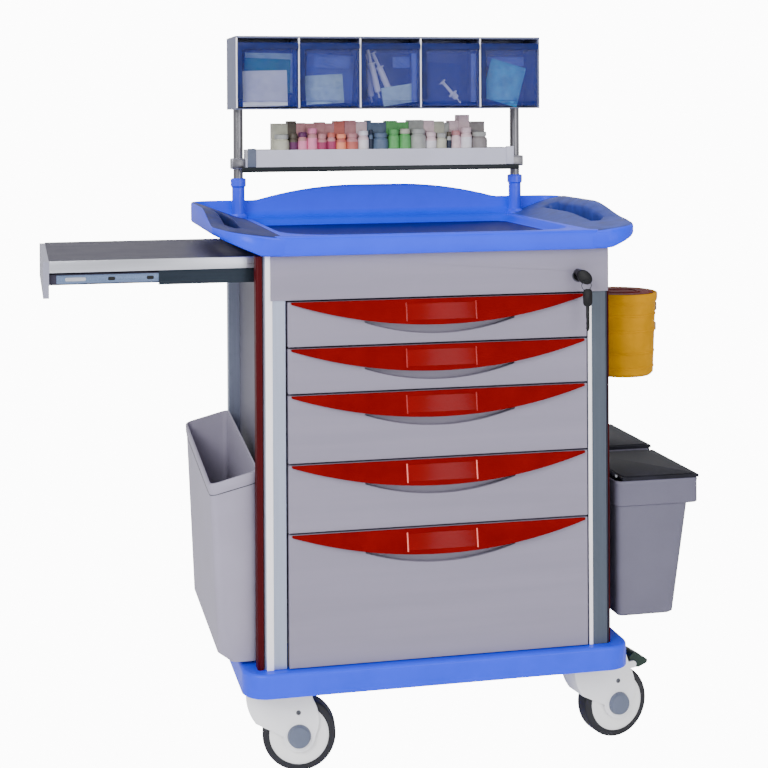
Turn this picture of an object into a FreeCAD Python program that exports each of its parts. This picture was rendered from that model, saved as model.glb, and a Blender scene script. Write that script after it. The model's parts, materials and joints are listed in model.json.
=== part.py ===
import FreeCAD, Part
import math
import os
from types import SimpleNamespace

import Sketcher

# A hospital medicine trolley: five drawers between aluminium corner columns, a moulded worktop with
# side grips, a pull-out side shelf, tilting supply bins on two posts, waste bins and a sharps tub on
# the sides, and four swivel casters. Millimetres, +Z up, the drawer fronts face -Y.
# Inside this file the cart is built about its own centre line, with y = 0 at the columns' front
# faces and z = 0 a little under the floor; every Placement then moves it by cart_x, cart_y, cart_z.

DIMENSIONS = {
    # where the cart stands in the model's frame, so that the whole box is centred on the origin
    "cart_x": 90,
    "cart_y": -235.2,
    "cart_z": -13,
    # cabinet
    "body_width": 610,
    "body_depth": 450,
    "column_width": 39,
    "front_column_depth": 40,
    "rear_column_depth": 30,
    "column_wall": 2.5,
    "column_round": 12,
    "panel_recess": 22,
    "panel_thick": 3,
    "flange_deep": 8,
    "trim_thick_left": 10,
    "trim_thick_right": 2,
    "trim_width": 26,
    "fascia_thick": 4,
    # base and chassis
    "base_bottom": 163,
    "base_height": 40,
    "base_overhang": 35,
    "base_front": 20,
    "base_back": 472,
    "base_round": 42,
    "base_skin": 6,
    "tube_side": 30,
    # drawers
    "small_pitch": 78,
    "medium_pitch": 116,
    "large_pitch": 225,
    "drawer_gap": 3,
    "front_thick": 18,
    "handle_half": 258,
    "handle_drop": 45,
    "handle_proud": 12,
    "handle_wall": 4,
    "scoop_half": 132,
    "scoop_drop": 61,
    "scoop_deep": 11,
    "tray_half": 248,
    "tray_back": 410,
    "tray_wall": 2.5,
    "runner_high": 8,
    "runner_gap": 0.7,
    # worktop
    "worktop_bottom": 892,
    "worktop_thick": 33,
    "worktop_front": 18,
    "worktop_back": 464,
    "recess_deep": 15,
    "recess_half": 256,
    "recess_front": 14,
    "recess_back": 424,
    "guard_foot": 962,
    "guard_top": 986,
    "guard_thick": 8,
    "grip_reach": 378,
    "grip_rise": 37,
    # pull-out side shelf, modelled pulled out
    "shelf_top": 888,
    "shelf_thick": 4,
    "shelf_front": 44,
    "shelf_back": 417,
    "shelf_end": 662,
    "shelf_long": 506,
    "pull_thick": 10,
    "slide_bottom": 842,
    "slide_high": 30,
    "slide_deep": 12,
    "slide_long": 497,
    # posts and overhead unit
    "post_half": 281.5,
    "post_y": 437,
    "post_radius": 9.5,
    "sleeve_foot": 925,
    "sleeve_high": 78,
    "sleeve_radius": 12.5,
    "housing_half": 300,
    "housing_front": 336,
    "housing_back": 460,
    "housing_bottom": 1136,
    "housing_top": 1275,
    "housing_wall": 4,
    "bin_deep": 62,
    "bin_wall": 2,
    "bin_slack": 0.8,
    "pivot_radius": 3,
    "supply_half": 266,
    "supply_front": 402,
    "supply_back": 472,
    "supply_bottom": 1017,
    "supply_high": 41,
    # casters
    "caster_half": 287,
    "caster_half_rear": 268,
    "caster_front": 66,
    "caster_rear": 388,
    "plate_half": 44,
    "plate_bolt": 34,
    "plate_hole": 4.25,
    "trail": 51,
    "wheel_radius": 62.5,
    "wheel_half": 16,
    "rim_radius": 50,
    "axle_radius": 6,
    "kingpin_radius": 8,
    "running_gap": 0.06,
    "hood_half": 24,
    "hood_top": 160,
    # waste bins and sharps tub
    "left_bin_front": 33,
    "left_bin_back": 400,
    "left_bin_inner": 309,
    "left_bin_outer": 396,
    "left_bin_bottom": 210,
    "right_bin_inner": 325,
    "right_bin_outer": 463,
    "right_bin_foot": 434,
    "right_bin_bottom": 240,
    "right_bin_top": 478,
    "right_bin_wide": 202,
    "collar_high": 44,
    "collar_proud": 19,
    "bin_shell": 3,
    "tub_x": 387,
    "tub_y": 150,
    "tub_radius": 66.5,
    "tub_taper": 6,
    # pins of the tub's flap and the bin lids, and the bores round them
    "flap_pin": 2,
    "flap_bore": 2.06,
    "tub_bottom": 646,
    "tub_top": 795,
    # lock
    "lock_x": 248,
    "lock_z": 846,
    "lock_radius": 9.5,
    "pinion_radius": 7.64,
}

doc = FreeCAD.newDocument("MedicineTrolley")
sheet = doc.addObject("Spreadsheet::Sheet", "Sizes")
for row, (alias, number) in enumerate(DIMENSIONS.items(), start=1):
    sheet.set(f"A{row}", alias.replace("_", " "))
    sheet.set(f"B{row}", str(number))
    sheet.setAlias(f"B{row}", alias)
doc.recompute()

Vector = FreeCAD.Vector
SIDES = {"left": -1, "right": 1}


class Size:
    """A length together with the sheet formula that it comes from."""

    def __init__(self, value, formula):
        self.value = value
        self.formula = formula

    def combined(self, other, sign, value):
        return Size(value, f"({self.formula} {sign} {sized(other).formula})")

    def __add__(self, other):
        return self.combined(other, "+", self.value + sized(other).value)

    def __sub__(self, other):
        return self.combined(other, "-", self.value - sized(other).value)

    def __mul__(self, other):
        return self.combined(other, "*", self.value * sized(other).value)

    def __truediv__(self, other):
        return self.combined(other, "/", self.value / sized(other).value)

    def __radd__(self, other):
        return sized(other) + self

    def __rsub__(self, other):
        return sized(other) - self

    def __rmul__(self, other):
        return sized(other) * self

    def __neg__(self):
        return sized(-1) * self


def sized(number):
    return number if isinstance(number, Size) else Size(number, f"({number})")


d = SimpleNamespace(**{alias: Size(number, f"Sizes.{alias}") for alias, number in DIMENSIONS.items()})
nodes = []


# ---------------------------------------------------------------- building blocks


def bind(thing, prop, length):
    thing.setExpression(prop, sized(length).formula)


def add(kind, name):
    return doc.addObject(kind, name)


def move(thing, x, y, z):
    for letter, length in zip("xyz", (x, y, z)):
        bind(thing, f"Placement.Base.{letter}", length)
    return thing


def box(name, x, y, z):
    """A block between two positions along each axis."""
    block = add("Part::Box", name)
    for prop, (low, high) in zip(("Length", "Width", "Height"), (x, y, z)):
        bind(block, prop, high - sized(low))
    return move(block, x[0], y[0], z[0])


def rod(name, radius, axis, start, length):
    """A cylinder from start along X, Y or Z."""
    turn = {"X": (Vector(0, 1, 0), 90), "Y": (Vector(1, 0, 0), -90), "Z": (Vector(0, 0, 1), 0)}[axis]
    cylinder = add("Part::Cylinder", name)
    bind(cylinder, "Radius", radius)
    bind(cylinder, "Height", length)
    cylinder.Placement = FreeCAD.Placement(Vector(), FreeCAD.Rotation(*turn))
    return move(cylinder, *start)


def fuse(name, *pieces):
    union = add("Part::MultiFuse", name)
    union.Shapes = list(pieces)
    return union


def group(name, *pieces):
    """Separate solids that share one node."""
    compound = add("Part::Compound", name)
    compound.Links = list(pieces)
    return compound


def cut(name, base, *tools):
    result = add("Part::Cut", name)
    result.Base = base
    result.Tool = tools[0] if len(tools) == 1 else fuse(f"{name}_tools", *tools)
    return result


def common(name, first, second):
    result = add("Part::Common", name)
    result.Base = first
    result.Tool = second
    return result


def rounded(name, base, radius, wanted):
    """Fillets the edges that wanted(edge) picks."""
    doc.recompute()
    result = add("Part::Fillet", name)
    result.Base = base
    picked = [i for i, edge in enumerate(base.Shape.Edges, start=1) if wanted(edge)]
    result.Edges = [(i, radius, radius) for i in picked]
    return result


def upright(edge):
    ends = [v.Point for v in edge.Vertexes]
    return len(ends) == 2 and (ends[0] - ends[1]).cross(Vector(0, 0, 1)).Length < 1e-6


def round_corners(x, y, radius):
    """Corners for sketch(): a rectangle whose own corners are arcs."""
    near = radius * round(1 - math.sqrt(0.5), 6)
    return [
        (x[0] + radius, y[0]),
        (x[1] - radius, y[0], x[1] - near, y[0] + near),
        (x[1], y[0] + radius),
        (x[1], y[1] - radius, x[1] - near, y[1] - near),
        (x[1] - radius, y[1]),
        (x[0] + radius, y[1], x[0] + near, y[1] - near),
        (x[0], y[1] - radius),
        (x[0], y[0] + radius, x[0] + near, y[0] + near),
    ]


def origin_plane(body, role):
    return next(item for item in body.Origin.OriginFeatures if item.Role == role)


def sketch(body, name, role, corners, offset=0):
    """A closed outline on one of the body's own planes.

    Each corner is (u, v), or (u, v, through_u, through_v) where an arc through that point leads to
    the next corner. Every corner is pinned to the origin by two dimensions from the sheet.
    """
    drawing = body.newObject("Sketcher::SketchObject", name)
    drawing.AttachmentSupport = [(origin_plane(body, role), "")]
    drawing.MapMode = "FlatFace"
    bind(drawing, "AttachmentOffset.Base.z", offset)
    places = [tuple(sized(length) for length in corner) for corner in corners]
    count = len(places)
    starts = []
    for index, place in enumerate(places):
        nearby = places[(index + 1) % count]
        here = Vector(place[0].value, place[1].value, 0)
        there = Vector(nearby[0].value, nearby[1].value, 0)
        if len(place) == 4:
            middle = Vector(place[2].value, place[3].value, 0)
            edge = drawing.addGeometry(Part.Arc(here, middle, there))
        else:
            edge = drawing.addGeometry(Part.LineSegment(here, there))
        first_is_here = (drawing.getPoint(edge, 1) - here).Length < 1e-6
        starts.append((edge, 1 if first_is_here else 2, 2 if first_is_here else 1))
    for index, (edge, start, end) in enumerate(starts):
        follower = starts[(index + 1) % count]
        drawing.addConstraint(Sketcher.Constraint("Coincident", edge, end, follower[0], follower[1]))
        pin(drawing, edge, start, places[index][:2])
        if len(places[index]) == 4:
            through = places[index][2:]
            spot = drawing.addGeometry(Part.Point(Vector(through[0].value, through[1].value, 0)), True)
            pin(drawing, spot, 1, through)
            drawing.addConstraint(Sketcher.Constraint("PointOnObject", spot, 1, edge))
    return drawing


def pin(drawing, edge, end, place):
    for kind, length in zip(("DistanceX", "DistanceY"), place):
        number = drawing.addConstraint(Sketcher.Constraint(kind, -1, 1, edge, end, length.value))
        drawing.setExpression(f"Constraints[{number}]", length.formula)


def ring_sketch(body, name, role, centre, radius, offset=0):
    """A circle on one of the body's own planes."""
    drawing = body.newObject("Sketcher::SketchObject", name)
    drawing.AttachmentSupport = [(origin_plane(body, role), "")]
    drawing.MapMode = "FlatFace"
    bind(drawing, "AttachmentOffset.Base.z", offset)
    middle = [sized(length) for length in centre]
    start = Vector(middle[0].value, middle[1].value, 0)
    edge = drawing.addGeometry(Part.Circle(start, Vector(0, 0, 1), sized(radius).value))
    pin(drawing, edge, 3, middle)
    number = drawing.addConstraint(Sketcher.Constraint("Radius", edge, sized(radius).value))
    drawing.setExpression(f"Constraints[{number}]", sized(radius).formula)
    return drawing


def feature(kind, body, name, profile, length, middle, back):
    """Adds a Pad or Pocket and stops if it did not change the body as it should."""
    before = body.Shape.Volume if body.Tip else 0
    item = body.newObject(f"PartDesign::{kind}", name)
    item.Profile = profile
    bind(item, "Length", length)
    item.Midplane = middle
    item.Reversed = back
    doc.recompute()
    grown = body.Shape.Volume - before
    if grown * (1 if kind == "Pad" else -1) < 1:
        raise RuntimeError(f"{name} changed nothing")
    return item


def pad(body, name, profile, length, middle=False, back=False):
    return feature("Pad", body, name, profile, length, middle, back)


def pocket(body, name, profile, length, middle=False, back=False):
    return feature("Pocket", body, name, profile, length, middle, back)


def dress(kind, body, name, size, wanted):
    """A PartDesign Fillet or Chamfer on the tip's edges that wanted(edge) picks."""
    tip = body.Tip
    picked = [f"Edge{i}" for i, edge in enumerate(tip.Shape.Edges, start=1) if wanted(edge)]
    item = body.newObject(f"PartDesign::{kind}", name)
    item.Base = (tip, picked)
    bind(item, "Radius" if kind == "Fillet" else "Size", size)
    doc.recompute()
    return item


def revolve(body, name, profile, axis):
    item = body.newObject("PartDesign::Revolution", name)
    item.Profile = profile
    item.ReferenceAxis = (profile, [axis])
    item.Angle = 360
    doc.recompute()
    return item


def prism(name, role, corners, low, high):
    """A PartDesign body: an outline on XY, XZ or YZ, padded from low to high along the third axis."""
    body = add("PartDesign::Body", name)
    # The XZ plane's normal is -Y, so its pads are measured backwards.
    offset = -sized(low) if role == "XZ_Plane" else low
    profile = sketch(body, f"{name}_outline", role, corners, offset)
    pad(body, f"{name}_pad", profile, sized(high) - low, back=role == "XZ_Plane")
    return body


def turned(name, corners, x=0, y=0):
    """A PartDesign body: an outline of (radius, height) corners turned about a vertical axis."""
    body = add("PartDesign::Body", name)
    profile = sketch(body, f"{name}_outline", "XZ_Plane", corners)
    revolve(body, f"{name}_turn", profile, "V_Axis")
    return move(body, x, y, 0)


def node(label, thing, x=d.cart_x, y=d.cart_y, z=0, angle=0):
    """Names a finished sub-part and puts it where it belongs."""
    thing.Label = label
    thing.Placement = FreeCAD.Placement(Vector(), FreeCAD.Rotation(Vector(0, 0, 1), angle))
    move(thing, x, y, d.cart_z + z)
    nodes.append(thing)
    return thing


def span(middle, half):
    return (middle - half, middle + half)


def between(side, inner, outer):
    """The span between two distances from the centre line, on the left or right side."""
    low, high = (inner, outer) if side > 0 else (-outer, -inner)
    return (low, high)


# ---------------------------------------------------------------- levels shared by several pieces

half_width = d.body_width / 2
column_inner = half_width - d.column_width
panel_outer = half_width - d.panel_recess
panel_inner = panel_outer - d.panel_thick
base_top = d.base_bottom + d.base_height
rear_column_front = d.body_depth - d.rear_column_depth
worktop_top = d.worktop_bottom + d.worktop_thick
recess_floor = worktop_top - d.recess_deep
wheel_centre = (d.trail, d.wheel_radius - d.cart_z)

PITCHES = [d.small_pitch, d.small_pitch, d.medium_pitch, d.medium_pitch, d.large_pitch]
drawer_tops = []
level = base_top
for pitch in reversed(PITCHES):
    level = level + pitch
    drawer_tops.insert(0, level)
fascia_bottom = drawer_tops[0] + d.drawer_gap / 2


# ---------------------------------------------------------------- base and chassis


def base_cover():
    x = half_width + d.base_overhang
    body = prism(
        "base_block",
        "XY_Plane",
        [(-x, -d.base_front), (x, -d.base_front), (x, d.base_back), (-x, d.base_back)],
        d.base_bottom,
        base_top,
    )
    dress("Fillet", body, "base_corners", d.base_round, upright)
    level_top = base_top.value
    dress(
        "Fillet",
        body,
        "base_top_edge",
        d.base_skin,
        lambda edge: all(abs(v.Z - level_top) < 1e-6 for v in edge.Vertexes),
    )
    skin = d.base_skin
    hollow = sketch(
        body,
        "base_hollow",
        "XY_Plane",
        round_corners(
            (-x + skin, x - skin),
            (-d.base_front + skin, d.base_back - skin),
            d.base_round - skin,
        ),
        d.base_bottom,
    )
    pocket(body, "base_underside", hollow, d.base_height - skin, back=True)
    node("base_cover", body)


CASTER_ANGLES = {"front_left": -9, "front_right": 10, "rear_left": 84, "rear_right": 78}
BRAKED = ["front_right", "rear_left"]
PEDAL_PIVOT = (d.trail + 31, d.hood_top - 20)


def caster_spot(corner):
    front = corner.startswith("front")
    half = d.caster_half if front else d.caster_half_rear
    return half if corner.endswith("right") else -half, d.caster_front if front else d.caster_rear


def chassis_frame():
    outer_x = d.caster_half + d.tube_side * 1.2
    outer_low = sized(8)
    outer_high = d.body_depth + 4
    low = d.base_bottom + 4
    high = base_top - d.base_skin
    frame = cut(
        "frame_ring",
        box("frame_outer", (-outer_x, outer_x), (outer_low, outer_high), (low, high)),
        box(
            "frame_inner",
            (-outer_x + d.tube_side, outer_x - d.tube_side),
            (outer_low + d.tube_side, outer_high - d.tube_side),
            (low, high),
        ),
    )
    pieces = [frame]
    for corner in CASTER_ANGLES:
        x, y = caster_spot(corner)
        half = d.plate_half
        bolt = d.plate_bolt
        plate = box(f"plate_{corner}", span(x, half), span(y, half), (low - 5, low))
        holes = [
            rod(f"hole_{corner}_{i}", d.plate_hole, "Z", (x + sx * bolt, y + sy * bolt, low - 6), 8)
            for i, (sx, sy) in enumerate([(-1, -1), (1, -1), (1, 1), (-1, 1)])
        ]
        kingpin = rod(f"kingpin_{corner}", d.kingpin_radius, "Z", (x, y, d.hood_top - 28), 31)
        pieces += [cut(f"drilled_{corner}", plate, *holes), kingpin]
    node("chassis_frame", fuse("chassis", *pieces))


def caster_fork(corner):
    """White hood with two cheeks down to the axle; its frame's origin is the swivel axis."""
    body = add("PartDesign::Body", f"fork_{corner}")
    cx, cz = wheel_centre
    boss = 27
    outline = sketch(
        body,
        f"fork_outline_{corner}",
        "XZ_Plane",
        [
            (-39, d.hood_top),
            (-39, d.hood_top - 16, -34, d.hood_top - 41),
            (-22, d.hood_top - 62),
            (cx - boss, cz, cx, cz - boss),
            (cx + boss, cz, cx + 33, d.hood_top - 50),
            (cx + 25, d.hood_top - 26),
            (cx + 16, d.hood_top),
        ],
    )
    pad(body, f"fork_pad_{corner}", outline, d.hood_half * 2, middle=True)
    slot = ring_sketch(body, f"fork_slot_{corner}", "XZ_Plane", (cx, cz), d.wheel_radius + 5)
    pocket(body, f"fork_gap_{corner}", slot, (d.wheel_half + 2) * 2, middle=True)
    bore = ring_sketch(
        body,
        f"fork_bore_{corner}",
        "XY_Plane",
        (0, 0),
        d.kingpin_radius + d.running_gap,
        d.hood_top,
    )
    pocket(body, f"fork_hole_{corner}", bore, 30)
    axle = ring_sketch(body, f"axle_circle_{corner}", "XZ_Plane", (cx, cz), d.axle_radius)
    pad(body, f"axle_{corner}", axle, d.hood_half * 2, middle=True)
    fork = body
    if corner in BRAKED:
        px, pz = PEDAL_PIVOT
        lugs = []
        for word, low in {"near": -d.hood_half, "far": d.hood_half - 4}.items():
            lug = prism(
                f"lug_{corner}_{word}",
                "XZ_Plane",
                [(cx + 12, pz - 6), (px, pz - 6, px + 6, pz), (px, pz + 6), (cx + 12, pz + 6)],
                low,
                low + 4,
            )
            lugs.append(lug)
        pedal_pin = rod(f"pedal_pin_{corner}", 2.5, "Y", (px, -d.hood_half, pz), d.hood_half * 2)
        fork = fuse(f"braked_fork_{corner}", body, *lugs, pedal_pin)
    x, y = caster_spot(corner)
    angle = CASTER_ANGLES[corner]
    node(f"caster_fork_{corner}", fork, d.cart_x + x, d.cart_y + y, 0, angle)


def wheel_part(name, corner, corners):
    """A ring about the wheel's axle: (radius, distance along the axle) corners."""
    body = add("PartDesign::Body", f"{name}_{corner}")
    profile = sketch(body, f"{name}_outline_{corner}", "YZ_Plane", corners)
    revolve(body, f"{name}_turn_{corner}", profile, "H_Axis")
    x, y = caster_spot(corner)
    turn = math.radians(CASTER_ANGLES[corner])
    node(
        f"{name}_{corner}",
        body,
        d.cart_x + x + d.trail * round(math.cos(turn), 9),
        d.cart_y + y + d.trail * round(math.sin(turn), 9),
        wheel_centre[1],
        CASTER_ANGLES[corner],
    )


def caster_wheel(corner):
    wide = d.wheel_half
    inner = d.rim_radius
    outer = d.wheel_radius
    wheel_part(
        "caster_tyre",
        corner,
        [
            (-wide, inner),
            (-wide, outer - 5, -wide + 1.5, outer - 1.5),
            (-wide + 5, outer),
            (wide - 5, outer, wide - 1.5, outer - 1.5),
            (wide, outer - 5),
            (wide, inner),
        ],
    )
    hub = d.axle_radius + d.running_gap
    edge = inner - 0.05
    face = wide - 1
    wheel_part(
        "caster_rim",
        corner,
        [
            (-face, hub),
            (-face, 17),
            (-face + 4, 20),
            (-face + 4, edge - 7),
            (-face, edge - 4),
            (-face, edge),
            (face, edge),
            (face, edge - 4),
            (face - 4, edge - 7),
            (face - 4, 20),
            (face, 17),
            (face, hub),
        ],
    )


def brake_pedal(corner):
    """Foot lever beyond the end of the hood, hinged on a pin between two lugs."""
    px, pz = PEDAL_PIVOT
    half = d.hood_half - 4.5
    lever = prism(
        f"pedal_{corner}",
        "XZ_Plane",
        [
            (px - 5, pz + 12),
            (px - 5, pz, px - 3.5, pz - 4.5),
            (px, pz - 6),
            (px + 14, pz - 8),
            (px + 29, pz - 3, px + 32, pz + 1),
            (px + 29, pz + 6),
            (px + 16, pz + 15, px + 5, pz + 19),
        ],
        -half,
        half,
    )
    pivot = rod(f"pedal_bore_{corner}", 2.5 + d.running_gap, "Y", (px, -half - 1, pz), half * 2 + 2)
    pedal = cut(f"pedal_bored_{corner}", lever, pivot)
    x, y = caster_spot(corner)
    node(f"brake_pedal_{corner}", pedal, d.cart_x + x, d.cart_y + y, 0, CASTER_ANGLES[corner])


# ---------------------------------------------------------------- cabinet


def column(name, side, front, depth):
    x = between(side, column_inner, half_width)
    wall = d.column_wall
    block = box(f"{name}_block", x, (front, front + depth), (base_top, d.worktop_bottom))
    corner_y = front.value if front.value == 0 else (front + depth).value
    soft = rounded(
        f"{name}_soft",
        block,
        d.column_round.value,
        lambda edge: upright(edge)
        and abs(edge.Vertexes[0].Y - corner_y) < 1e-6
        and abs(abs(edge.Vertexes[0].X) - half_width.value) < 1e-6,
    )
    hollow = box(
        f"{name}_hollow",
        between(side, column_inner + wall, half_width - wall * 2),
        (front + wall * 2, front + depth - wall * 2),
        (base_top, d.worktop_bottom),
    )
    return cut(name, soft, hollow)


def cabinet_shell():
    columns = []
    for word, side in SIDES.items():
        columns.append(column(f"front_{word}", side, sized(0), d.front_column_depth))
        columns.append(column(f"rear_{word}", side, rear_column_front, d.rear_column_depth))
    node("corner_columns", group("columns", *columns))

    strips = []
    for word, side in SIDES.items():
        thick = {"left": d.trim_thick_left, "right": d.trim_thick_right}[word]
        strip = box(
            f"strip_{word}",
            between(side, half_width, half_width + thick),
            (4, 4 + d.trim_width),
            (base_top, d.worktop_bottom - 1),
        )
        outer = (half_width + thick).value
        soft = rounded(
            f"strip_soft_{word}",
            strip,
            thick.value * 0.4,
            lambda edge: upright(edge) and abs(abs(edge.Vertexes[0].X) - outer) < 1e-6,
        )
        strips.append(soft)
    node("side_trim_strips", group("strips", *strips))

    y = (d.front_column_depth, rear_column_front)
    tops = {"left": d.slide_bottom - 3, "right": d.worktop_bottom}
    for word, side in SIDES.items():
        sheet_x = between(side, panel_inner, panel_outer)
        sheet_box = box(f"panel_{word}", sheet_x, y, (base_top, tops[word]))
        flanges = [
            box(
                f"flange_{word}_{i}",
                between(side, panel_inner - d.flange_deep, panel_outer),
                (low, low + 2),
                (base_top, tops[word]),
            )
            for i, low in enumerate((y[0], y[1] - 2))
        ]
        node(f"side_panel_{word}", fuse(f"side_{word}", sheet_box, *flanges))
    back = prism(
        "back_sheet",
        "XZ_Plane",
        [
            (-column_inner, base_top),
            (column_inner, base_top),
            (column_inner, d.worktop_bottom),
            (-column_inner, d.worktop_bottom),
        ],
        d.body_depth - 6,
        d.body_depth - 3,
    )
    node("back_panel", back)

    plate = prism(
        "fascia_plate",
        "XZ_Plane",
        [
            (-half_width + 13, fascia_bottom),
            (half_width - 2, fascia_bottom),
            (half_width - 2, d.worktop_bottom),
            (-half_width + 13, d.worktop_bottom),
        ],
        -d.fascia_thick,
        0,
    )
    hole = ring_sketch(
        plate,
        "lock_hole_circle",
        "XZ_Plane",
        (d.lock_x, d.lock_z),
        d.lock_radius + d.running_gap,
    )
    pocket(plate, "lock_hole", hole, d.fascia_thick * 3, middle=True)
    node("top_fascia", plate)


def drawer_rail(number, side, top, pitch):
    """A channel on the columns that the drawer's runner slides in, open towards the drawer."""
    name = f"rail_{number}_{'right' if side > 0 else 'left'}"
    middle = top - runner_drop(pitch)
    half_slot = d.runner_high / 2 + d.runner_gap
    y = (d.front_thick + 2, rear_column_front + 20)
    block = box(
        f"{name}_block",
        between(side, d.tray_half + 4, column_inner),
        y,
        (middle - half_slot - 2, middle + half_slot + 2),
    )
    slot = box(
        f"{name}_slot",
        between(side, d.tray_half + 4, column_inner - 3),
        y,
        (middle - half_slot, middle + half_slot),
    )
    return cut(name, block, slot)


def runner_drop(pitch):
    """How far below the drawer's top edge its runners are."""
    return pitch / 2 + 6


def shelf_channel(name, front, opens_back, inset, low_x, long):
    """A C-shaped slide member, nested by inset inside the fixed one."""
    inset = sized(inset)
    wall = 1.5
    z = (d.slide_bottom + inset, d.slide_bottom + d.slide_high - inset)
    y = (front + inset, front + d.slide_deep)
    if not opens_back:
        y = (front, front + d.slide_deep - inset)
    x = (low_x, low_x + long)
    block = box(f"{name}_block", x, y, z)
    gap_y = (y[0] + wall, y[1]) if opens_back else (y[0], y[1] - wall)
    gap = box(f"{name}_gap", x, gap_y, (z[0] + wall, z[1] - wall))
    return cut(name, block, gap)


SHELF_RAIL_Y = {"front": (d.shelf_front + 2, True), "rear": (d.shelf_back - 2 - d.slide_deep, False)}
LOCK_BAR_X = (d.lock_x - d.pinion_radius - 14.36, d.lock_x - d.pinion_radius)
LOCK_BAR_Y = (d.tray_back + 16, d.tray_back + 22)


def cabinet_rails():
    pieces = []
    for number, (top, pitch) in enumerate(zip(drawer_tops, PITCHES), start=1):
        for side in SIDES.values():
            pieces.append(drawer_rail(number, side, top, pitch))
    rail_start = -panel_outer + 1
    beam_x = rail_start + d.slide_long
    beams = []
    for word, (front, opens_back) in SHELF_RAIL_Y.items():
        beams.append(shelf_channel(f"shelf_fixed_{word}", front, opens_back, 0, rail_start, d.slide_long))
        spacer_y = (front + d.slide_deep, rear_column_front)
        if opens_back:
            spacer_y = (d.front_column_depth, front)
        spacer_z = (d.slide_bottom + 4, d.slide_bottom + d.slide_high - 4)
        beams.append(box(f"shelf_spacer_{word}", (rail_start, -column_inner - 1), spacer_y, spacer_z))
    beams.append(
        box(
            "shelf_beam",
            (beam_x, beam_x + 8),
            (d.shelf_front + 2, d.shelf_back - 2),
            (d.slide_bottom, d.worktop_bottom),
        )
    )
    pieces.append(fuse("shelf_carrier", *beams))
    for number, height in enumerate((260, 600), start=1):
        guide = box(
            f"guide_{number}_block",
            (LOCK_BAR_X[0] - 4, LOCK_BAR_X[1] + 4),
            (LOCK_BAR_Y[0] - 1, d.body_depth - 6),
            (height, height + 16),
        )
        way = box(
            f"guide_{number}_way",
            (LOCK_BAR_X[0] - 0.6, LOCK_BAR_X[1] + 0.6),
            (LOCK_BAR_Y[0] - 1, LOCK_BAR_Y[1] + 0.6),
            (height, height + 16),
        )
        pieces.append(cut(f"guide_{number}", guide, way))
    node("cabinet_rails", group("rails", *pieces))


# ---------------------------------------------------------------- drawers


def crescent(half, top, shoulder, drop):
    """Corners of a band with a straight top and a bowed bottom edge."""
    return [(-half, -shoulder, 0, -drop), (half, -shoulder), (half, -top), (-half, -top)]


def drawer(number, top, pitch):
    """Front, grip and tray of one drawer; z = 0 is the top of its pitch."""
    gap = d.drawer_gap / 2
    proud = d.fascia_thick
    back = d.front_thick - proud
    half = column_inner - d.drawer_gap
    front = prism(
        f"front_{number}",
        "XZ_Plane",
        [(-half, -pitch + gap), (half, -pitch + gap), (half, -gap), (-half, -gap)],
        -proud,
        back,
    )
    scoop = sketch(
        front,
        f"scoop_outline_{number}",
        "XZ_Plane",
        crescent(d.scoop_half, 14, d.scoop_drop - 22, d.scoop_drop),
        proud,
    )
    pocket(front, f"scoop_{number}", scoop, d.scoop_deep)
    node(f"drawer_front_{number}", front, z=top)

    # The grip is a bowed band whose face leans out towards its lower edge.
    band = prism(
        f"band_{number}",
        "XZ_Plane",
        crescent(d.handle_half, gap, 5, d.handle_drop),
        -proud - d.handle_proud,
        -proud,
    )
    lean = prism(
        f"lean_{number}",
        "YZ_Plane",
        [
            (-proud - d.handle_wall, 0),
            (-proud - d.handle_proud, -d.handle_drop),
            (-proud - d.handle_proud - 5, -d.handle_drop),
            (-proud - d.handle_proud - 5, 0),
        ],
        -d.handle_half - 1,
        d.handle_half + 1,
    )
    under = prism(
        f"under_{number}",
        "YZ_Plane",
        [
            (-proud + 1, -16),
            (-proud - d.handle_wall, -16),
            (-proud - d.handle_proud + d.handle_wall, -d.handle_drop - 1),
            (-proud + 1, -d.handle_drop - 1),
        ],
        -d.scoop_half + 4,
        d.scoop_half - 4,
    )
    grip = cut(f"grip_{number}", band, lean, under)
    node(f"drawer_handle_{number}", grip, z=top)

    wall = d.tray_wall
    low = -pitch + 8
    high = sized(-20)
    tray = cut(
        f"tray_shell_{number}",
        box(f"tray_block_{number}", (-d.tray_half, d.tray_half), (back, d.tray_back), (low, high)),
        box(
            f"tray_room_{number}",
            (-d.tray_half + wall, d.tray_half - wall),
            (back + wall, d.tray_back - wall),
            (low + wall, high + 1),
        ),
    )
    middle = -runner_drop(pitch)
    runners = [
        box(
            f"runner_{number}_{word}",
            between(side, d.tray_half - 1, column_inner - 4),
            (back + 8, d.tray_back),
            span(middle, d.runner_high / 2),
        )
        for word, side in SIDES.items()
    ]
    ear_x = (LOCK_BAR_X[0] + 1, LOCK_BAR_X[1])
    ear = box(f"ear_{number}", ear_x, (d.tray_back, d.tray_back + 13.5), (-30, -27))
    lip = box(f"lip_{number}", ear_x, (d.tray_back + 10.5, d.tray_back + 13.5), (-27, -14))
    tray_with_runners = fuse(f"tray_{number}", tray, *runners)
    node(f"drawer_tray_{number}", group(f"tray_and_hook_{number}", tray_with_runners, ear, lip), z=top)


# ---------------------------------------------------------------- lock


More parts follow.
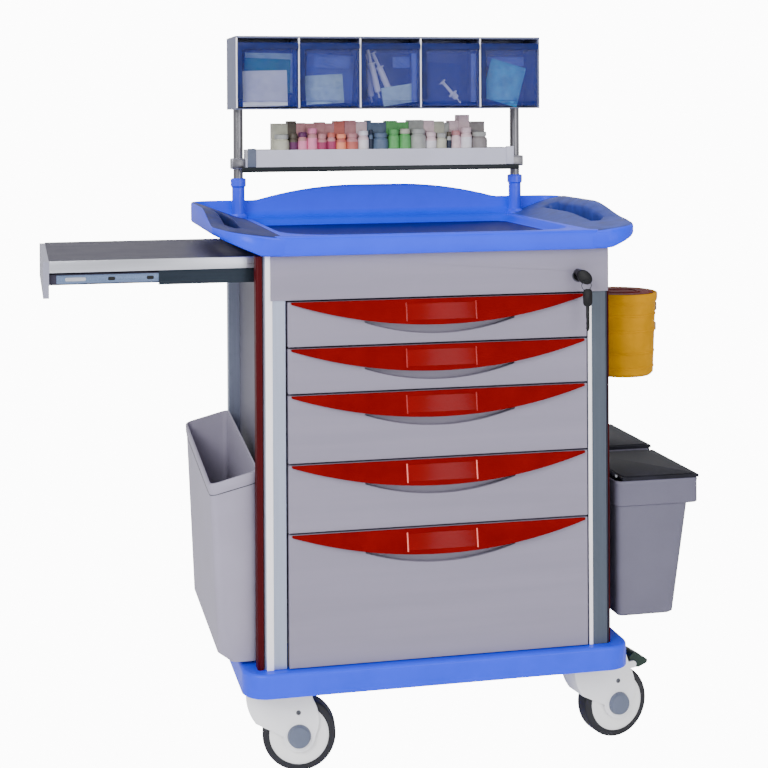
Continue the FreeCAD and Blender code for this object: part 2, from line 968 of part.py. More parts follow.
def lock():
    """Key barrel with a long shaft and pinion, and the rear bar whose pegs block the drawers."""
    x, z = d.lock_x, d.lock_z
    barrel = rod("barrel", d.lock_radius, "Y", (x, -d.fascia_thick - 3, z), 14)
    shaft = rod("lock_shaft", 4, "Y", (x, -d.fascia_thick, z), d.tray_back + 28)
    pinion = rod("pinion", d.pinion_radius - 0.34, "Y", (x, LOCK_BAR_Y[0] - 1, z), 8)
    key = box("key_bow", (-4.5, 4.5), (-d.fascia_thick - 29, -d.fascia_thick - 9), (-13, 13))
    blade = box("key_blade", (-1.2, 1.2), (-d.fascia_thick - 12, -d.fascia_thick - 2), (-4, 4))
    held = fuse("key", key, blade)
    held.Placement = FreeCAD.Placement(Vector(), FreeCAD.Rotation(Vector(0, 1, 0), -45))
    move(held, x, 0, z)
    node("lock_key", fuse("lock_turning", barrel, shaft, pinion, held))

    bar = box("bar", LOCK_BAR_X, LOCK_BAR_Y, (base_top + 60, z + 20))
    pieces = [bar]
    for number, top in enumerate(drawer_tops, start=1):
        arm_y = (d.tray_back + 3.5, LOCK_BAR_Y[0])
        pieces.append(box(f"arm_{number}", LOCK_BAR_X, arm_y, (top + 2, top + 6)))
        peg_y = (d.tray_back + 3.5, d.tray_back + 8)
        pieces.append(box(f"peg_{number}", LOCK_BAR_X, peg_y, (top - 12, top + 2)))
    node("lock_bar", group("lock_bar_whole", *pieces))


# ---------------------------------------------------------------- worktop


def worktop():
    x = half_width
    rise = d.grip_rise
    reach = d.grip_reach
    slab = prism(
        "worktop_slab",
        "XY_Plane",
        [(-x, -d.worktop_front), (x, -d.worktop_front), (x, d.worktop_back), (-x, d.worktop_back)],
        d.worktop_bottom,
        worktop_top,
    )
    dress("Fillet", slab, "slab_corners", 36, upright)
    recess = sketch(
        slab,
        "recess_outline",
        "XY_Plane",
        [
            (-d.recess_half, d.recess_front),
            (d.recess_half, d.recess_front),
            (d.recess_half, d.recess_back),
            (-d.recess_half, d.recess_back),
        ],
        worktop_top,
    )
    pocket(slab, "recess", recess, d.recess_deep)
    # The arched guard along the back edge.
    arch = prism(
        "guard_arch",
        "XZ_Plane",
        [
            (-x + 14, worktop_top - 4),
            (x - 14, worktop_top - 4),
            (x - 14, d.guard_foot - 4),
            (x - 50, d.guard_foot, x - 100, d.guard_foot + 9),
            (x - 170, d.guard_top, 0, d.guard_top + 1),
            (-x + 170, d.guard_top, -x + 100, d.guard_foot + 9),
            (-x + 50, d.guard_foot),
            (-x + 14, d.guard_foot - 4),
        ],
        d.worktop_back - d.guard_thick - 2,
        d.worktop_back - 2,
    )
    pieces = [slab, arch]
    for word, side in SIDES.items():
        flare = prism(
            f"grip_flare_{word}",
            "XZ_Plane",
            [
                (side * (x - 24), d.worktop_bottom + 1),
                (side * reach, d.worktop_bottom + rise + 4),
                (side * reach, worktop_top + rise),
                (side * (x - 24), worktop_top - 1),
            ],
            -d.worktop_front,
            d.worktop_back,
        )
        plan = prism(
            f"grip_plan_{word}",
            "XY_Plane",
            [
                (side * (x - 30), -6),
                (side * (x - 12), -6, side * (reach - 20), 26),
                (side * reach, 92),
                (side * reach, d.worktop_back - 60, side * (reach - 14), d.worktop_back - 16),
                (side * (reach - 44), d.worktop_back - 2),
                (side * (x - 30), d.worktop_back - 2),
            ],
            d.worktop_bottom - 10,
            worktop_top + rise + 10,
        )
        slot = prism(
            f"grip_slot_{word}",
            "XY_Plane",
            [
                (side * (x + 14), 92, side * (x + 32), 78),
                (side * (reach - 24), 106),
                (side * (reach - 24), d.worktop_back - 78, side * (x + 32), d.worktop_back - 50),
                (side * (x + 14), d.worktop_back - 64),
            ],
            d.worktop_bottom - 10,
            worktop_top + rise + 10,
        )
        pieces.append(cut(f"grip_{word}", common(f"grip_shape_{word}", flare, plan), slot))
    seats = []
    for word, side in SIDES.items():
        spot = (side * d.post_half, d.post_y)
        seats.append(rod(f"post_seat_{word}", d.post_radius + 0.05, "Z", (*spot, worktop_top - 14), 60))
        seats.append(rod(f"sleeve_seat_{word}", d.sleeve_radius + 4.1, "Z", (*spot, worktop_top), 50))
    node("worktop", cut("worktop_whole", fuse("worktop_joined", *pieces), *seats))


# ---------------------------------------------------------------- side shelf


def side_shelf():
    end = -d.shelf_end
    z = (d.shelf_top - d.shelf_thick, d.shelf_top)
    y = (d.shelf_front, d.shelf_back)
    board = box("board_sheet", (end + d.pull_thick, end + d.pull_thick + d.shelf_long), y, z)
    slides = []
    for word, (front, opens_back) in SHELF_RAIL_Y.items():
        inner_y = (front + 4.5, front + 12.5) if opens_back else (front - 0.5, front + 7.5)
        web_y = (inner_y[1], inner_y[1] + 2) if opens_back else (inner_y[0] - 2, inner_y[0])
        x = (end + d.pull_thick, end + d.pull_thick + d.slide_long - 12)
        low = d.slide_bottom + 6
        slides.append(box(f"inner_bar_{word}", x, inner_y, (low, low + 18)))
        slides.append(box(f"inner_web_{word}", x, web_y, (low + 2, z[0])))
    lip_x = (end + d.pull_thick, -half_width - 22)
    lip = box("board_lip", lip_x, (y[0], y[0] + 1.6), (d.slide_bottom + d.slide_high, z[0]))
    node("shelf_board", fuse("board", board, lip, *slides))

    pull = box("pull_block", (end, end + d.pull_thick), y, (d.slide_bottom - 15, d.shelf_top - 1))
    dip = box("pull_dip", (end + 3, end + d.pull_thick), span(d.shelf_front + 186, 60), (820, 850))
    soft = rounded(
        "pull_soft",
        cut("pull_cut", pull, dip),
        2,
        lambda edge: upright(edge) and abs(edge.Vertexes[0].X - end.value) < 1e-6,
    )
    node("shelf_pull", soft)

    middle_long = d.slide_long - 30
    middles = [
        shelf_channel(f"shelf_middle_{word}", front, opens_back, 2.5, end + 190, middle_long)
        for word, (front, opens_back) in SHELF_RAIL_Y.items()
    ]
    node("shelf_slide_middles", group("middles", *middles))


# ---------------------------------------------------------------- posts, tray and tilting bins


def overhead():
    half = d.housing_half
    wall = d.housing_wall
    low, high = d.housing_bottom, d.housing_top
    sleeves = []
    posts = []
    clamps = []
    for word, side in SIDES.items():
        foot = d.sleeve_foot
        bore = d.post_radius + 0.05
        sleeve = turned(
            f"sleeve_{word}",
            [
                (bore, foot),
                (d.sleeve_radius + 4, foot),
                (d.sleeve_radius + 4, foot + 5),
                (d.sleeve_radius, foot + 9),
                (d.sleeve_radius, foot + d.sleeve_high - 18),
                (d.sleeve_radius + 2.5, foot + d.sleeve_high - 15),
                (d.sleeve_radius + 2.5, foot + d.sleeve_high - 2),
                (d.sleeve_radius, foot + d.sleeve_high),
                (bore, foot + d.sleeve_high),
            ],
            side * d.post_half,
            d.post_y,
        )
        sleeves.append(sleeve)
        start = (side * d.post_half, d.post_y, worktop_top - 14)
        post_long = high - wall - 6 - (worktop_top - 14)
        tube = cut(
            f"tube_{word}",
            rod(f"tube_outer_{word}", d.post_radius, "Z", start, post_long),
            rod(f"tube_bore_{word}", d.post_radius - 1.5, "Z", start, post_long),
        )
        posts.append(tube)
        for number, height in enumerate((low + 14, high - 34), start=1):
            block = box(
                f"clamp_block_{word}_{number}",
                span(side * (d.post_half - 2), 14),
                (d.post_y - 15, d.post_y + 13),
                (height, height + 16),
            )
            hole = rod(
                f"clamp_hole_{word}_{number}",
                d.post_radius + 0.05,
                "Z",
                (side * d.post_half, d.post_y, height - 1),
                18,
            )
            clamps.append(cut(f"clamp_{word}_{number}", block, hole))
    node("post_sleeves", group("sleeves", *sleeves))
    node("support_posts", group("posts", *posts))

    front = d.housing_front
    shell = [
        box("housing_roof", (-half, half), (front, d.housing_back), (high - wall, high)),
        box("housing_floor", (-half, half), (front + 2, d.housing_back), (low, low + 2.5)),
        box("housing_rear", (-half, half), (d.post_y - 17, d.post_y - 14), (low, high)),
    ]
    pitch = (half * 2 - wall) / 5
    for number in range(6):
        x = -half + pitch * number
        depth = d.housing_back if number in (0, 5) else d.post_y - 17
        shell.append(box(f"housing_rib_{number}", (x, x + wall), (front + 1, depth), (low, high)))
    ways = [rod("pivot_way", d.pivot_radius + 0.08, "X", (-half + 1.5, PIVOT[0], PIVOT[1]), half * 2 - 3)]
    for word, side in SIDES.items():
        start = (side * d.post_half, d.post_y, low - 1)
        ways.append(rod(f"post_way_{word}", d.post_radius + 0.05, "Z", start, 5))
    node("bin_housing", cut("housing", fuse("housing_shell", *shell, *clamps), *ways))
    for number in range(5):
        tilt_bin(number + 1, -half + pitch * number + wall, pitch - wall)

    supply_tray()


PIVOT = (d.housing_front + 7, d.housing_bottom + 11)


def tilt_bin(number, low_x, wide):
    """Tip-out bin that swings forward on stub pins at its lower front corner."""
    slack = d.bin_slack
    front = d.housing_front + 2
    floor = d.housing_bottom + 5
    high = d.housing_top - 12
    wall = d.bin_wall

    x = (low_x + slack, low_x + wide - slack)
    outer = prism(
        f"bin_outer_{number}",
        "YZ_Plane",
        [
            (front, floor),
            (front + 52, floor),
            (front + d.bin_deep, floor + 40),
            (front + d.bin_deep, high - 18),
            (front, high),
        ],
        *x,
    )
    room = prism(
        f"bin_room_{number}",
        "YZ_Plane",
        [
            (front + wall, floor + wall),
            (front + 51, floor + wall),
            (front + d.bin_deep - wall, floor + 40),
            (front + d.bin_deep - wall, high + 2),
            (front + wall, high + 2),
        ],
        x[0] + wall,
        x[1] - wall,
    )
    stubs = rod(
        f"bin_stub_{number}",
        d.pivot_radius,
        "X",
        (low_x - 1.4, PIVOT[0], PIVOT[1]),
        wide + 2.8,
    )
    boss = rod(f"bin_boss_{number}", 5.2, "X", (x[0], PIVOT[0], PIVOT[1]), x[1] - x[0])
    lip = prism(
        f"bin_lip_{number}",
        "YZ_Plane",
        [(front, high), (front, high - 14), (front - 5, high - 4), (front - 5, high - 1)],
        low_x + 14,
        low_x + wide - 14,
    )
    shell = cut(f"bin_shell_{number}", outer, room)
    node(f"tilt_bin_{number}", fuse(f"bin_{number}", shell, stubs, boss, lip))


def supply_tray():
    half = d.supply_half
    wall = 2
    low = d.supply_bottom
    high = low + d.supply_high
    y = (d.supply_front, d.supply_back)
    tray = cut(
        "supply_shell",
        box("supply_block", (-half, half), y, (low, high)),
        box(
            "supply_room",
            (-half + wall, half - wall),
            (y[0] + wall, y[1] - wall),
            (low + wall, high + 1),
        ),
    )
    arms = []
    for word, side in SIDES.items():
        block = box(
            f"supply_arm_{word}",
            between(side, half - 1, d.post_half + 14),
            span(d.post_y, 13),
            (low + 4, low + 24),
        )
        hole = rod(
            f"supply_hole_{word}",
            d.post_radius + 0.05,
            "Z",
            (side * d.post_half, d.post_y, low),
            30,
        )
        arms.append(cut(f"supply_clamp_{word}", block, hole))
    node("supply_tray", fuse("supply", tray, *arms))


# ---------------------------------------------------------------- bins and sharps tub on the sides

RAIL_HEIGHTS = (330, 452)


def tub_outside():
    """The tub's outer outline, which its bracket's arm also follows."""
    radius = d.tub_radius
    low, high = d.tub_bottom, d.tub_top
    return [
        (0, low),
        (radius - d.tub_taper - 5, low),
        (radius - d.tub_taper, low + 5),
        (radius - 1, high - 18),
        (radius, high - 15),
        (radius, high),
        (0, high),
    ]


def side_brackets():
    pieces = []
    for word, side in SIDES.items():
        inner = half_width - 12 if side < 0 else half_width + 4
        for number, height in enumerate(RAIL_HEIGHTS, start=1):
            rail = box(
                f"hang_rail_{word}_{number}",
                between(side, inner, inner + 8),
                (52, 408),
                (height, height + 20),
            )
            feet = [
                box(
                    f"hang_foot_{word}_{number}_{i}",
                    between(side, panel_outer, inner + 2),
                    span(sized(place), 8),
                    (height + 2, height + 18),
                )
                for i, place in enumerate((90, 370))
            ]
            pieces.append(fuse(f"hanger_{word}_{number}", rail, *feet))
    hold_z = d.tub_bottom + 56
    plate_x = (panel_outer, panel_outer + 3)
    arm_x = (plate_x[1], d.tub_x - d.tub_radius + 8)
    plate = box("tub_plate", plate_x, span(d.tub_y, 40), (hold_z - 30, hold_z + 46))
    arm = box("tub_arm_block", arm_x, span(d.tub_y, 9), (hold_z, hold_z + 16))
    seat = turned("tub_arm_seat", tub_outside(), d.tub_x, d.tub_y)
    pieces += [plate, cut("tub_arm", arm, seat)]
    node("side_brackets", group("brackets", *pieces))


def sharps():
    radius = d.tub_radius
    low, high = d.tub_bottom, d.tub_top
    wall = 2.5
    inside = [
        (radius - wall, high),
        (radius - wall, high - 14),
        (radius - 1 - wall, high - 16),
        (radius - d.tub_taper - wall, low + 7),
        (radius - d.tub_taper - 7, low + wall),
        (0, low + wall),
    ]
    tub = turned("tub", tub_outside()[:-1] + inside, d.tub_x, d.tub_y)
    hinge_x = d.tub_x - radius + 7
    pin_z = high + 4
    pin_rod = rod("tub_pin", d.flap_pin, "Y", (hinge_x, d.tub_y - 16, pin_z), 32)
    ears = [
        box(
            f"tub_ear_{i}",
            (hinge_x - 4, hinge_x + 3),
            (d.tub_y + low_y, d.tub_y + low_y + 4),
            (high - 8, pin_z + 3),
        )
        for i, low_y in enumerate((-18, 14))
    ]
    node("sharps_tub", fuse("tub_whole", tub, pin_rod, *ears))

    lid_radius = radius - wall - 3
    plate = rod("tub_lid_plate", lid_radius, "Z", (d.tub_x, d.tub_y, high - 4), 6)
    notch = box("tub_lid_notch", span(hinge_x, 8), span(d.tub_y, 20), (high - 5, high + 3))
    tongue = box("tub_lid_tongue", (hinge_x, hinge_x + 16), span(d.tub_y, 11), (high, pin_z))
    knuckle = rod("tub_knuckle", 4, "Y", (hinge_x, d.tub_y - 11, pin_z), 22)
    bore = rod("tub_knuckle_bore", d.flap_bore, "Y", (hinge_x, d.tub_y - 20, pin_z), 40)
    body = fuse("tub_lid_body", cut("tub_lid_notched", plate, notch), tongue, knuckle)
    node("sharps_lid", cut("tub_lid", body, bore))


def left_bin():
    """Open waste bin whose rim slopes down towards the front and outwards."""
    inner, outer, bottom = -d.left_bin_inner, -d.left_bin_outer, d.left_bin_bottom
    shell = d.bin_shell
    y = (d.left_bin_front, d.left_bin_back)
    high = sized(620)
    body = prism(
        "left_bin_block",
        "XZ_Plane",
        [(inner, bottom), (outer + 30, bottom), (outer + 16, bottom + 14), (outer, high), (inner, high)],
        *y,
    )
    room = prism(
        "left_bin_room",
        "XZ_Plane",
        [
            (inner - shell, bottom + shell),
            (outer + 30, bottom + shell),
            (outer + 16 + shell, bottom + 17),
            (outer + shell, high + 1),
            (inner - shell, high + 1),
        ],
        y[0] + shell,
        y[1] - shell,
    )
    # The tool above the rim is tilted about the rim's highest corner.
    above = box("left_bin_above", (-160, 90), (-460, 90), (0, 220))
    tilt = FreeCAD.Rotation(Vector(1, 0, 0), 5).multiply(FreeCAD.Rotation(Vector(0, 1, 0), -14.5))
    above_rim = group("left_bin_above_rim", above)
    above_rim.Placement = FreeCAD.Placement(Vector(), tilt)
    move(above_rim, inner, y[1], 562)
    trimmed = cut("left_bin_trimmed", body, room, above_rim)
    hooks = [
        box(
            f"left_hook_{i}",
            (inner - 1, inner + 13),
            span(sized(place), 12),
            (RAIL_HEIGHTS[1] + 20, RAIL_HEIGHTS[1] + 24),
        )
        for i, place in enumerate((130, 330))
    ]
    node("left_waste_bin", fuse("left_bin_whole", trimmed, *hooks))


RIGHT_BINS = {"front": (sized(18), sized(0)), "rear": (sized(227), sized(7))}
LID_AXIS = (d.right_bin_inner + 7, d.right_bin_top + 6)


def right_bins():
    """Two lidded waste bins behind each other; the rear one hangs a little higher."""
    inner, outer, bottom, high = d.right_bin_inner, d.right_bin_outer, d.right_bin_bottom, d.right_bin_top
    shell = d.bin_shell
    proud = d.collar_proud
    pieces = []
    for word, (front, raised) in RIGHT_BINS.items():
        y = (front, front + d.right_bin_wide)
        narrow = (y[0] + 3, y[1] - 3)
        step = high - d.collar_high
        body = prism(
            f"right_bin_body_{word}",
            "XZ_Plane",
            [
                (inner + 3, bottom + raised),
                (d.right_bin_foot, bottom + raised),
                (outer, step + raised),
                (outer, high + raised - 1),
                (inner + 3, high + raised - 1),
            ],
            *narrow,
        )
        collar = box(
            f"right_collar_{word}",
            (inner, outer + proud),
            y,
            (step + raised, high + raised),
        )
        room_low = prism(
            f"right_room_{word}",
            "XZ_Plane",
            [
                (inner + 3 + shell, bottom + shell + raised),
                (d.right_bin_foot - shell, bottom + shell + raised),
                (outer - shell, high + raised + 1),
                (inner + 3 + shell, high + raised + 1),
            ],
            narrow[0] + shell,
            narrow[1] - shell,
        )
        room_high = box(
            f"right_collar_room_{word}",
            (inner + 10, outer + proud - shell),
            (y[0] + shell, y[1] - shell),
            (step + raised + shell, high + raised + 1),
        )
        outside = fuse(f"right_bin_outer_{word}", body, collar)
        hollow = cut(f"right_bin_shell_{word}", outside, room_low, room_high)
        axis_z = LID_AXIS[1] + raised
        pin_start = (LID_AXIS[0], y[0] + 20, axis_z)
        pin_rod = rod(f"lid_pin_{word}", d.flap_pin, "Y", pin_start, d.right_bin_wide - 40)
        ears = [
            box(
                f"lid_ear_{word}_{i}",
                span(LID_AXIS[0], 3.5),
                (low_y, low_y + 5),
                (high + raised - 2, axis_z + 4),
            )
            for i, low_y in enumerate((y[0] + 17, y[1] - 22))
        ]
        hook = box(
            f"right_hook_{word}",
            (inner - 13, inner + 1),
            (y[0] + 80, y[0] + 120),
            (RAIL_HEIGHTS[1] + 20, RAIL_HEIGHTS[1] + 24),
        )
        pieces.append(fuse(f"right_bin_{word}", hollow, pin_rod, *ears, hook))

        lid_x = (LID_AXIS[0], outer + proud)
        sheet_low = high + raised + 0.5
        sheet_z = (sheet_low, sheet_low + 5)
        lid = box(f"lid_sheet_{word}", (lid_x[0] + 6, lid_x[1]), (y[0] + 1, y[1] - 1), sheet_z)
        barrel_start = (LID_AXIS[0], y[0] + 24, axis_z)
        barrel = rod(f"lid_barrel_{word}", 4.5, "Y", barrel_start, d.right_bin_wide - 48)
        leaf = box(
            f"lid_leaf_{word}",
            (LID_AXIS[0], lid_x[0] + 8),
            (y[0] + 24, y[1] - 24),
            (sheet_low + 1, sheet_low + 5),
        )
        bore = rod(f"lid_bore_{word}", d.flap_bore, "Y", (LID_AXIS[0], y[0], axis_z), d.right_bin_wide)
        whole = cut(f"lid_{word}", fuse(f"lid_body_{word}", lid, barrel, leaf), bore)
        node(f"waste_lid_{word}", whole)
    node("right_waste_bins", group("right_bins", *pieces))


# ---------------------------------------------------------------- assembly and export

base_cover()
chassis_frame()
for corner in CASTER_ANGLES:
    caster_fork(corner)
    caster_wheel(corner)
for corner in BRAKED:
    brake_pedal(corner)
cabinet_shell()
cabinet_rails()
for number, (top, pitch) in enumerate(zip(drawer_tops, PITCHES), start=1):
    drawer(number, top, pitch)
lock()
worktop()
side_shelf()
overhead()
side_brackets()
sharps()
left_bin()
right_bins()

doc.recompute()
for thing in doc.Objects:
    if {"Invalid", "Error"} & set(thing.State):
        raise RuntimeError(f"{thing.Name} failed: {thing.State}")
for thing in nodes:
    if thing.Shape.isNull() or not thing.Shape.isValid():
        raise RuntimeError(f"{thing.Label} has no valid shape")

os.makedirs("parts", exist_ok=True)
for thing in nodes:
    thing.Shape.exportStep(f"parts/{thing.Label}.step")
whole = FreeCAD.BoundBox()
for thing in nodes:
    whole.add(thing.Shape.BoundBox)
print(f"{len(nodes)} nodes", whole)
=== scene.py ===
import json
import math
import random

import bmesh
import bpy
from mathutils import Matrix, Vector

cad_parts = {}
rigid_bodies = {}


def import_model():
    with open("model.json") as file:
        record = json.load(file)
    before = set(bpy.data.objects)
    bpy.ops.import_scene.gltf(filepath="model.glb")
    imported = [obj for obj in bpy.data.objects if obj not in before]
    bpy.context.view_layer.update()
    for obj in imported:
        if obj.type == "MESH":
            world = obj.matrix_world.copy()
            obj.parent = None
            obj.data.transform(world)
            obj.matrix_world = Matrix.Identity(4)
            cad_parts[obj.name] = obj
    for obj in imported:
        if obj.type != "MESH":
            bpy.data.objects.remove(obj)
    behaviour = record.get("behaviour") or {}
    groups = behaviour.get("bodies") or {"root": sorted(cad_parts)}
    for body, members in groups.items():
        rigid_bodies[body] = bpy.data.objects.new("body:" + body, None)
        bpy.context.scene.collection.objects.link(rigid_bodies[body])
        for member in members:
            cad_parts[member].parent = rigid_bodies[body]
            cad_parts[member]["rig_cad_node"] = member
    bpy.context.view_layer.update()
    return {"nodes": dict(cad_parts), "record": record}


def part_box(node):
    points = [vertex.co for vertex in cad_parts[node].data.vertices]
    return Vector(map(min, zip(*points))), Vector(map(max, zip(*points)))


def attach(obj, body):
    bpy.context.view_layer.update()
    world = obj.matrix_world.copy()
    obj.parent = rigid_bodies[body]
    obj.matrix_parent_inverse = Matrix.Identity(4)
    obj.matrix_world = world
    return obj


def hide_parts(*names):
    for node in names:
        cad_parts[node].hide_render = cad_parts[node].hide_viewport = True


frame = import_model()
dice = random.Random(7)

SIDES = {"left": -1, "right": 1}
CORNERS = ("front_left", "front_right", "rear_left", "rear_right")
DRAWERS = range(1, 6)
GRAIN_SCALE = 900
GLOSS_SPREAD = 0.06
CLOSE = 0.00001
BUMP_DEPTH = 0.0006


# ---------------------------------------------------------------- materials


def tone(red, green, blue):
    """A display colour of 0..255 as the linear colour that shaders take, by the sRGB curve."""

    def linear(part):
        part /= 255
        return part / 12.92 if part <= 0.04045 else ((part + 0.055) / 1.055) ** 2.4

    return (linear(red), linear(green), linear(blue), 1)


def scaled(colour, factor):
    """A lighter or darker version of a colour."""
    return tuple(min(1, part * factor) for part in colour[:3]) + (1,)


def surface(
    name,
    colour,
    rough=0.4,
    metal=0.0,
    coat=0.0,
    mottle=0.06,
    mottle_scale=14,
    stretch=(1, 1, 1),
    grain=0.08,
    specular=0.35,
    alpha=1.0,
):
    """A procedural finish: broad colour variation, a fine grain bump and uneven gloss."""
    mat = bpy.data.materials.new(name)
    mat.use_nodes = True
    nodes, links = mat.node_tree.nodes, mat.node_tree.links
    shader = nodes["Principled BSDF"]
    shader.inputs["Metallic"].default_value = metal
    shader.inputs["Coat Weight"].default_value = coat
    shader.inputs["Coat Roughness"].default_value = 0.12
    shader.inputs["Specular IOR Level"].default_value = specular
    shader.inputs["Alpha"].default_value = alpha

    place = nodes.new("ShaderNodeTexCoord")
    mapping = nodes.new("ShaderNodeMapping")
    mapping.inputs["Scale"].default_value = stretch
    links.new(place.outputs["Object"], mapping.inputs["Vector"])

    def noise(scale, detail):
        item = nodes.new("ShaderNodeTexNoise")
        item.inputs["Scale"].default_value = scale
        item.inputs["Detail"].default_value = detail
        links.new(mapping.outputs["Vector"], item.inputs["Vector"])
        return item.outputs["Fac"]

    broad = noise(mottle_scale, 4)
    blend = nodes.new("ShaderNodeValToRGB")
    blend.color_ramp.elements[0].position = 0.3
    blend.color_ramp.elements[0].color = scaled(colour, 1 - mottle)
    blend.color_ramp.elements[1].position = 0.7
    blend.color_ramp.elements[1].color = scaled(colour, 1 + mottle)
    links.new(broad, blend.inputs["Fac"])
    links.new(blend.outputs["Color"], shader.inputs["Base Color"])

    fine = noise(GRAIN_SCALE, 2)
    spread = nodes.new("ShaderNodeMapRange")
    spread.inputs["To Min"].default_value = max(0.02, rough - GLOSS_SPREAD)
    spread.inputs["To Max"].default_value = min(1, rough + GLOSS_SPREAD)
    links.new(broad, spread.inputs["Value"])
    links.new(spread.outputs["Result"], shader.inputs["Roughness"])
    bump = nodes.new("ShaderNodeBump")
    bump.inputs["Strength"].default_value = grain
    bump.inputs["Distance"].default_value = BUMP_DEPTH
    links.new(fine, bump.inputs["Height"])
    links.new(bump.outputs["Normal"], shader.inputs["Normal"])
    return mat


BRUSHED = (0.4, 0.4, 18)
ACROSS = (0.4, 18, 18)
DRAWN = (18, 18, 0.5)
MATERIALS = {
    "base_blue": surface("base_blue", tone(20, 60, 244), 0.4, mottle=0.06, specular=0.3),
    "worktop_blue": surface("worktop_blue", tone(10, 56, 252), 0.4, mottle=0.05, specular=0.25),
    "chassis_steel": surface("chassis_steel", tone(58, 58, 62), 0.45, metal=0.4),
    "column_aluminium": surface(
        "column_aluminium", tone(160, 168, 190), 0.34, metal=0.7, stretch=DRAWN, mottle=0.04, grain=0.1
    ),
    "trim_red": surface("trim_red", tone(66, 0, 6), 0.5, mottle=0.1, specular=0.1),
    "panel_paint": surface("panel_paint", tone(104, 102, 118), 0.5, grain=0.12, mottle=0.04),
    "front_grey": surface(
        "front_grey", tone(134, 129, 147), 0.5, stretch=(0.25, 1, 4), grain=0.12, mottle=0.05, mottle_scale=9
    ),
    "handle_red": surface("handle_red", tone(112, 0, 0), 0.45, mottle=0.12, mottle_scale=20, specular=0.04),
    "tray_plastic": surface("tray_plastic", tone(196, 196, 202), 0.5),
    "rail_steel": surface("rail_steel", tone(150, 152, 158), 0.35, metal=0.9, stretch=ACROSS),
    "shelf_grey": surface("shelf_grey", tone(48, 45, 62), 0.5, grain=0.1, specular=0.2),
    "pull_grey": surface("pull_grey", tone(140, 140, 158), 0.4),
    "slide_steel": surface("slide_steel", tone(40, 48, 58), 0.34, metal=0.8, stretch=ACROSS),
    "sleeve_blue": surface("sleeve_blue", tone(36, 62, 250), 0.3, coat=0.3),
    "post_aluminium": surface("post_aluminium", tone(122, 121, 126), 0.3, metal=0.85, stretch=DRAWN),
    "housing_silver": surface("housing_silver", tone(88, 94, 126), 0.4, mottle=0.06),
    "bin_blue": surface("bin_blue", tone(16, 40, 142), 0.2, mottle=0.2, alpha=0.3),
    "supply_plastic": surface("supply_plastic", tone(204, 204, 220), 0.35, mottle=0.05),
    "bracket_steel": surface("bracket_steel", tone(110, 112, 120), 0.4, metal=0.5),
    "tub_yellow": surface("tub_yellow", tone(190, 133, 0), 0.5, mottle=0.12, mottle_scale=30, specular=0.03),
    "tub_lid_red": surface("tub_lid_red", tone(90, 0, 0), 0.5, mottle=0.14, specular=0.05),
    "waste_grey": surface("waste_grey", tone(152, 147, 166), 0.5, mottle=0.05, grain=0.16),
    "waste_lid": surface(
        "waste_lid", tone(30, 30, 40), 0.6, mottle=0.35, mottle_scale=26, grain=0.2, specular=0.15
    ),
    "key_black": surface("key_black", tone(14, 14, 18), 0.35, mottle=0.2, specular=0.2),
    "lock_steel": surface("lock_steel", tone(90, 90, 100), 0.35, metal=0.7, stretch=BRUSHED),
    "hood_white": surface("hood_white", tone(250, 250, 252), 0.4, mottle=0.02),
    "rim_white": surface("rim_white", tone(250, 250, 250), 0.4, mottle=0.02),
    "caster_tyre": surface("caster_tyre", tone(34, 34, 40), 0.55, mottle=0.15, grain=0.2),
    "pedal_green": surface("pedal_green", tone(22, 44, 36), 0.35, mottle=0.15),
}

slot_of = {row["node"]: row["material_slot"] for row in frame["record"]["subparts"]}


def dress(thing, slot):
    """Gives a piece a slot's finish."""
    thing.data.materials.clear()
    thing.data.materials.append(MATERIALS[slot])


def soften(thing, width, angle=35, segments=2):
    """Small rounds on a CAD node's sharp edges, as a modifier, so that its own mesh stays as it is."""
    weld = thing.modifiers.new("weld", "WELD")
    weld.merge_threshold = 2 * CLOSE
    bevel = thing.modifiers.new("round", "BEVEL")
    bevel.width = width
    bevel.segments = segments
    bevel.limit_method = "ANGLE"
    bevel.angle_limit = math.radians(angle)
    bevel.use_clamp_overlap = True
    bevel.harden_normals = True


for label, thing in frame["nodes"].items():
    dress(thing, slot_of[label])

# ---------------------------------------------------------------- places

columns_low, columns_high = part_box("corner_columns")
CENTRE_X = (columns_low.x + columns_high.x) / 2
FRONT_Y = columns_low.y
BASE_TOP = 203
LIFT = columns_low.z - BASE_TOP / 1000


def at(x, y, z):
    """A place in the cabinet's millimetres: from its middle, its front, and 203 below its foot."""
    return Vector((CENTRE_X + x / 1000, FRONT_Y + y / 1000, LIFT + z / 1000))


def cabinet(place):
    """A place of the frame in the cabinet's millimetres."""
    return (Vector(place) - Vector((CENTRE_X, FRONT_Y, LIFT))) * 1000


def reach(node):
    """A CAD node's box in the cabinet's millimetres."""
    low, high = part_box(node)
    return cabinet(low), cabinet(high)


# ---------------------------------------------------------------- stage, light and camera


BACKDROP_STRENGTH = 12
SKY_STRENGTH = 0.85
LAMPS = [
    # name, place, aimed at, size, watts
    ("key", (-2.2, -2.6, 2.4), (0, 0, 0.6), (2.0, 1.6), 120),
    ("fill", (1.2, -3.2, 1.0), (0, 0, 0.5), (1.6, 1.6), 30),
    ("top", (0, 0.2, 3.2), (0, 0, 0.5), (2.4, 2.0), 30),
]


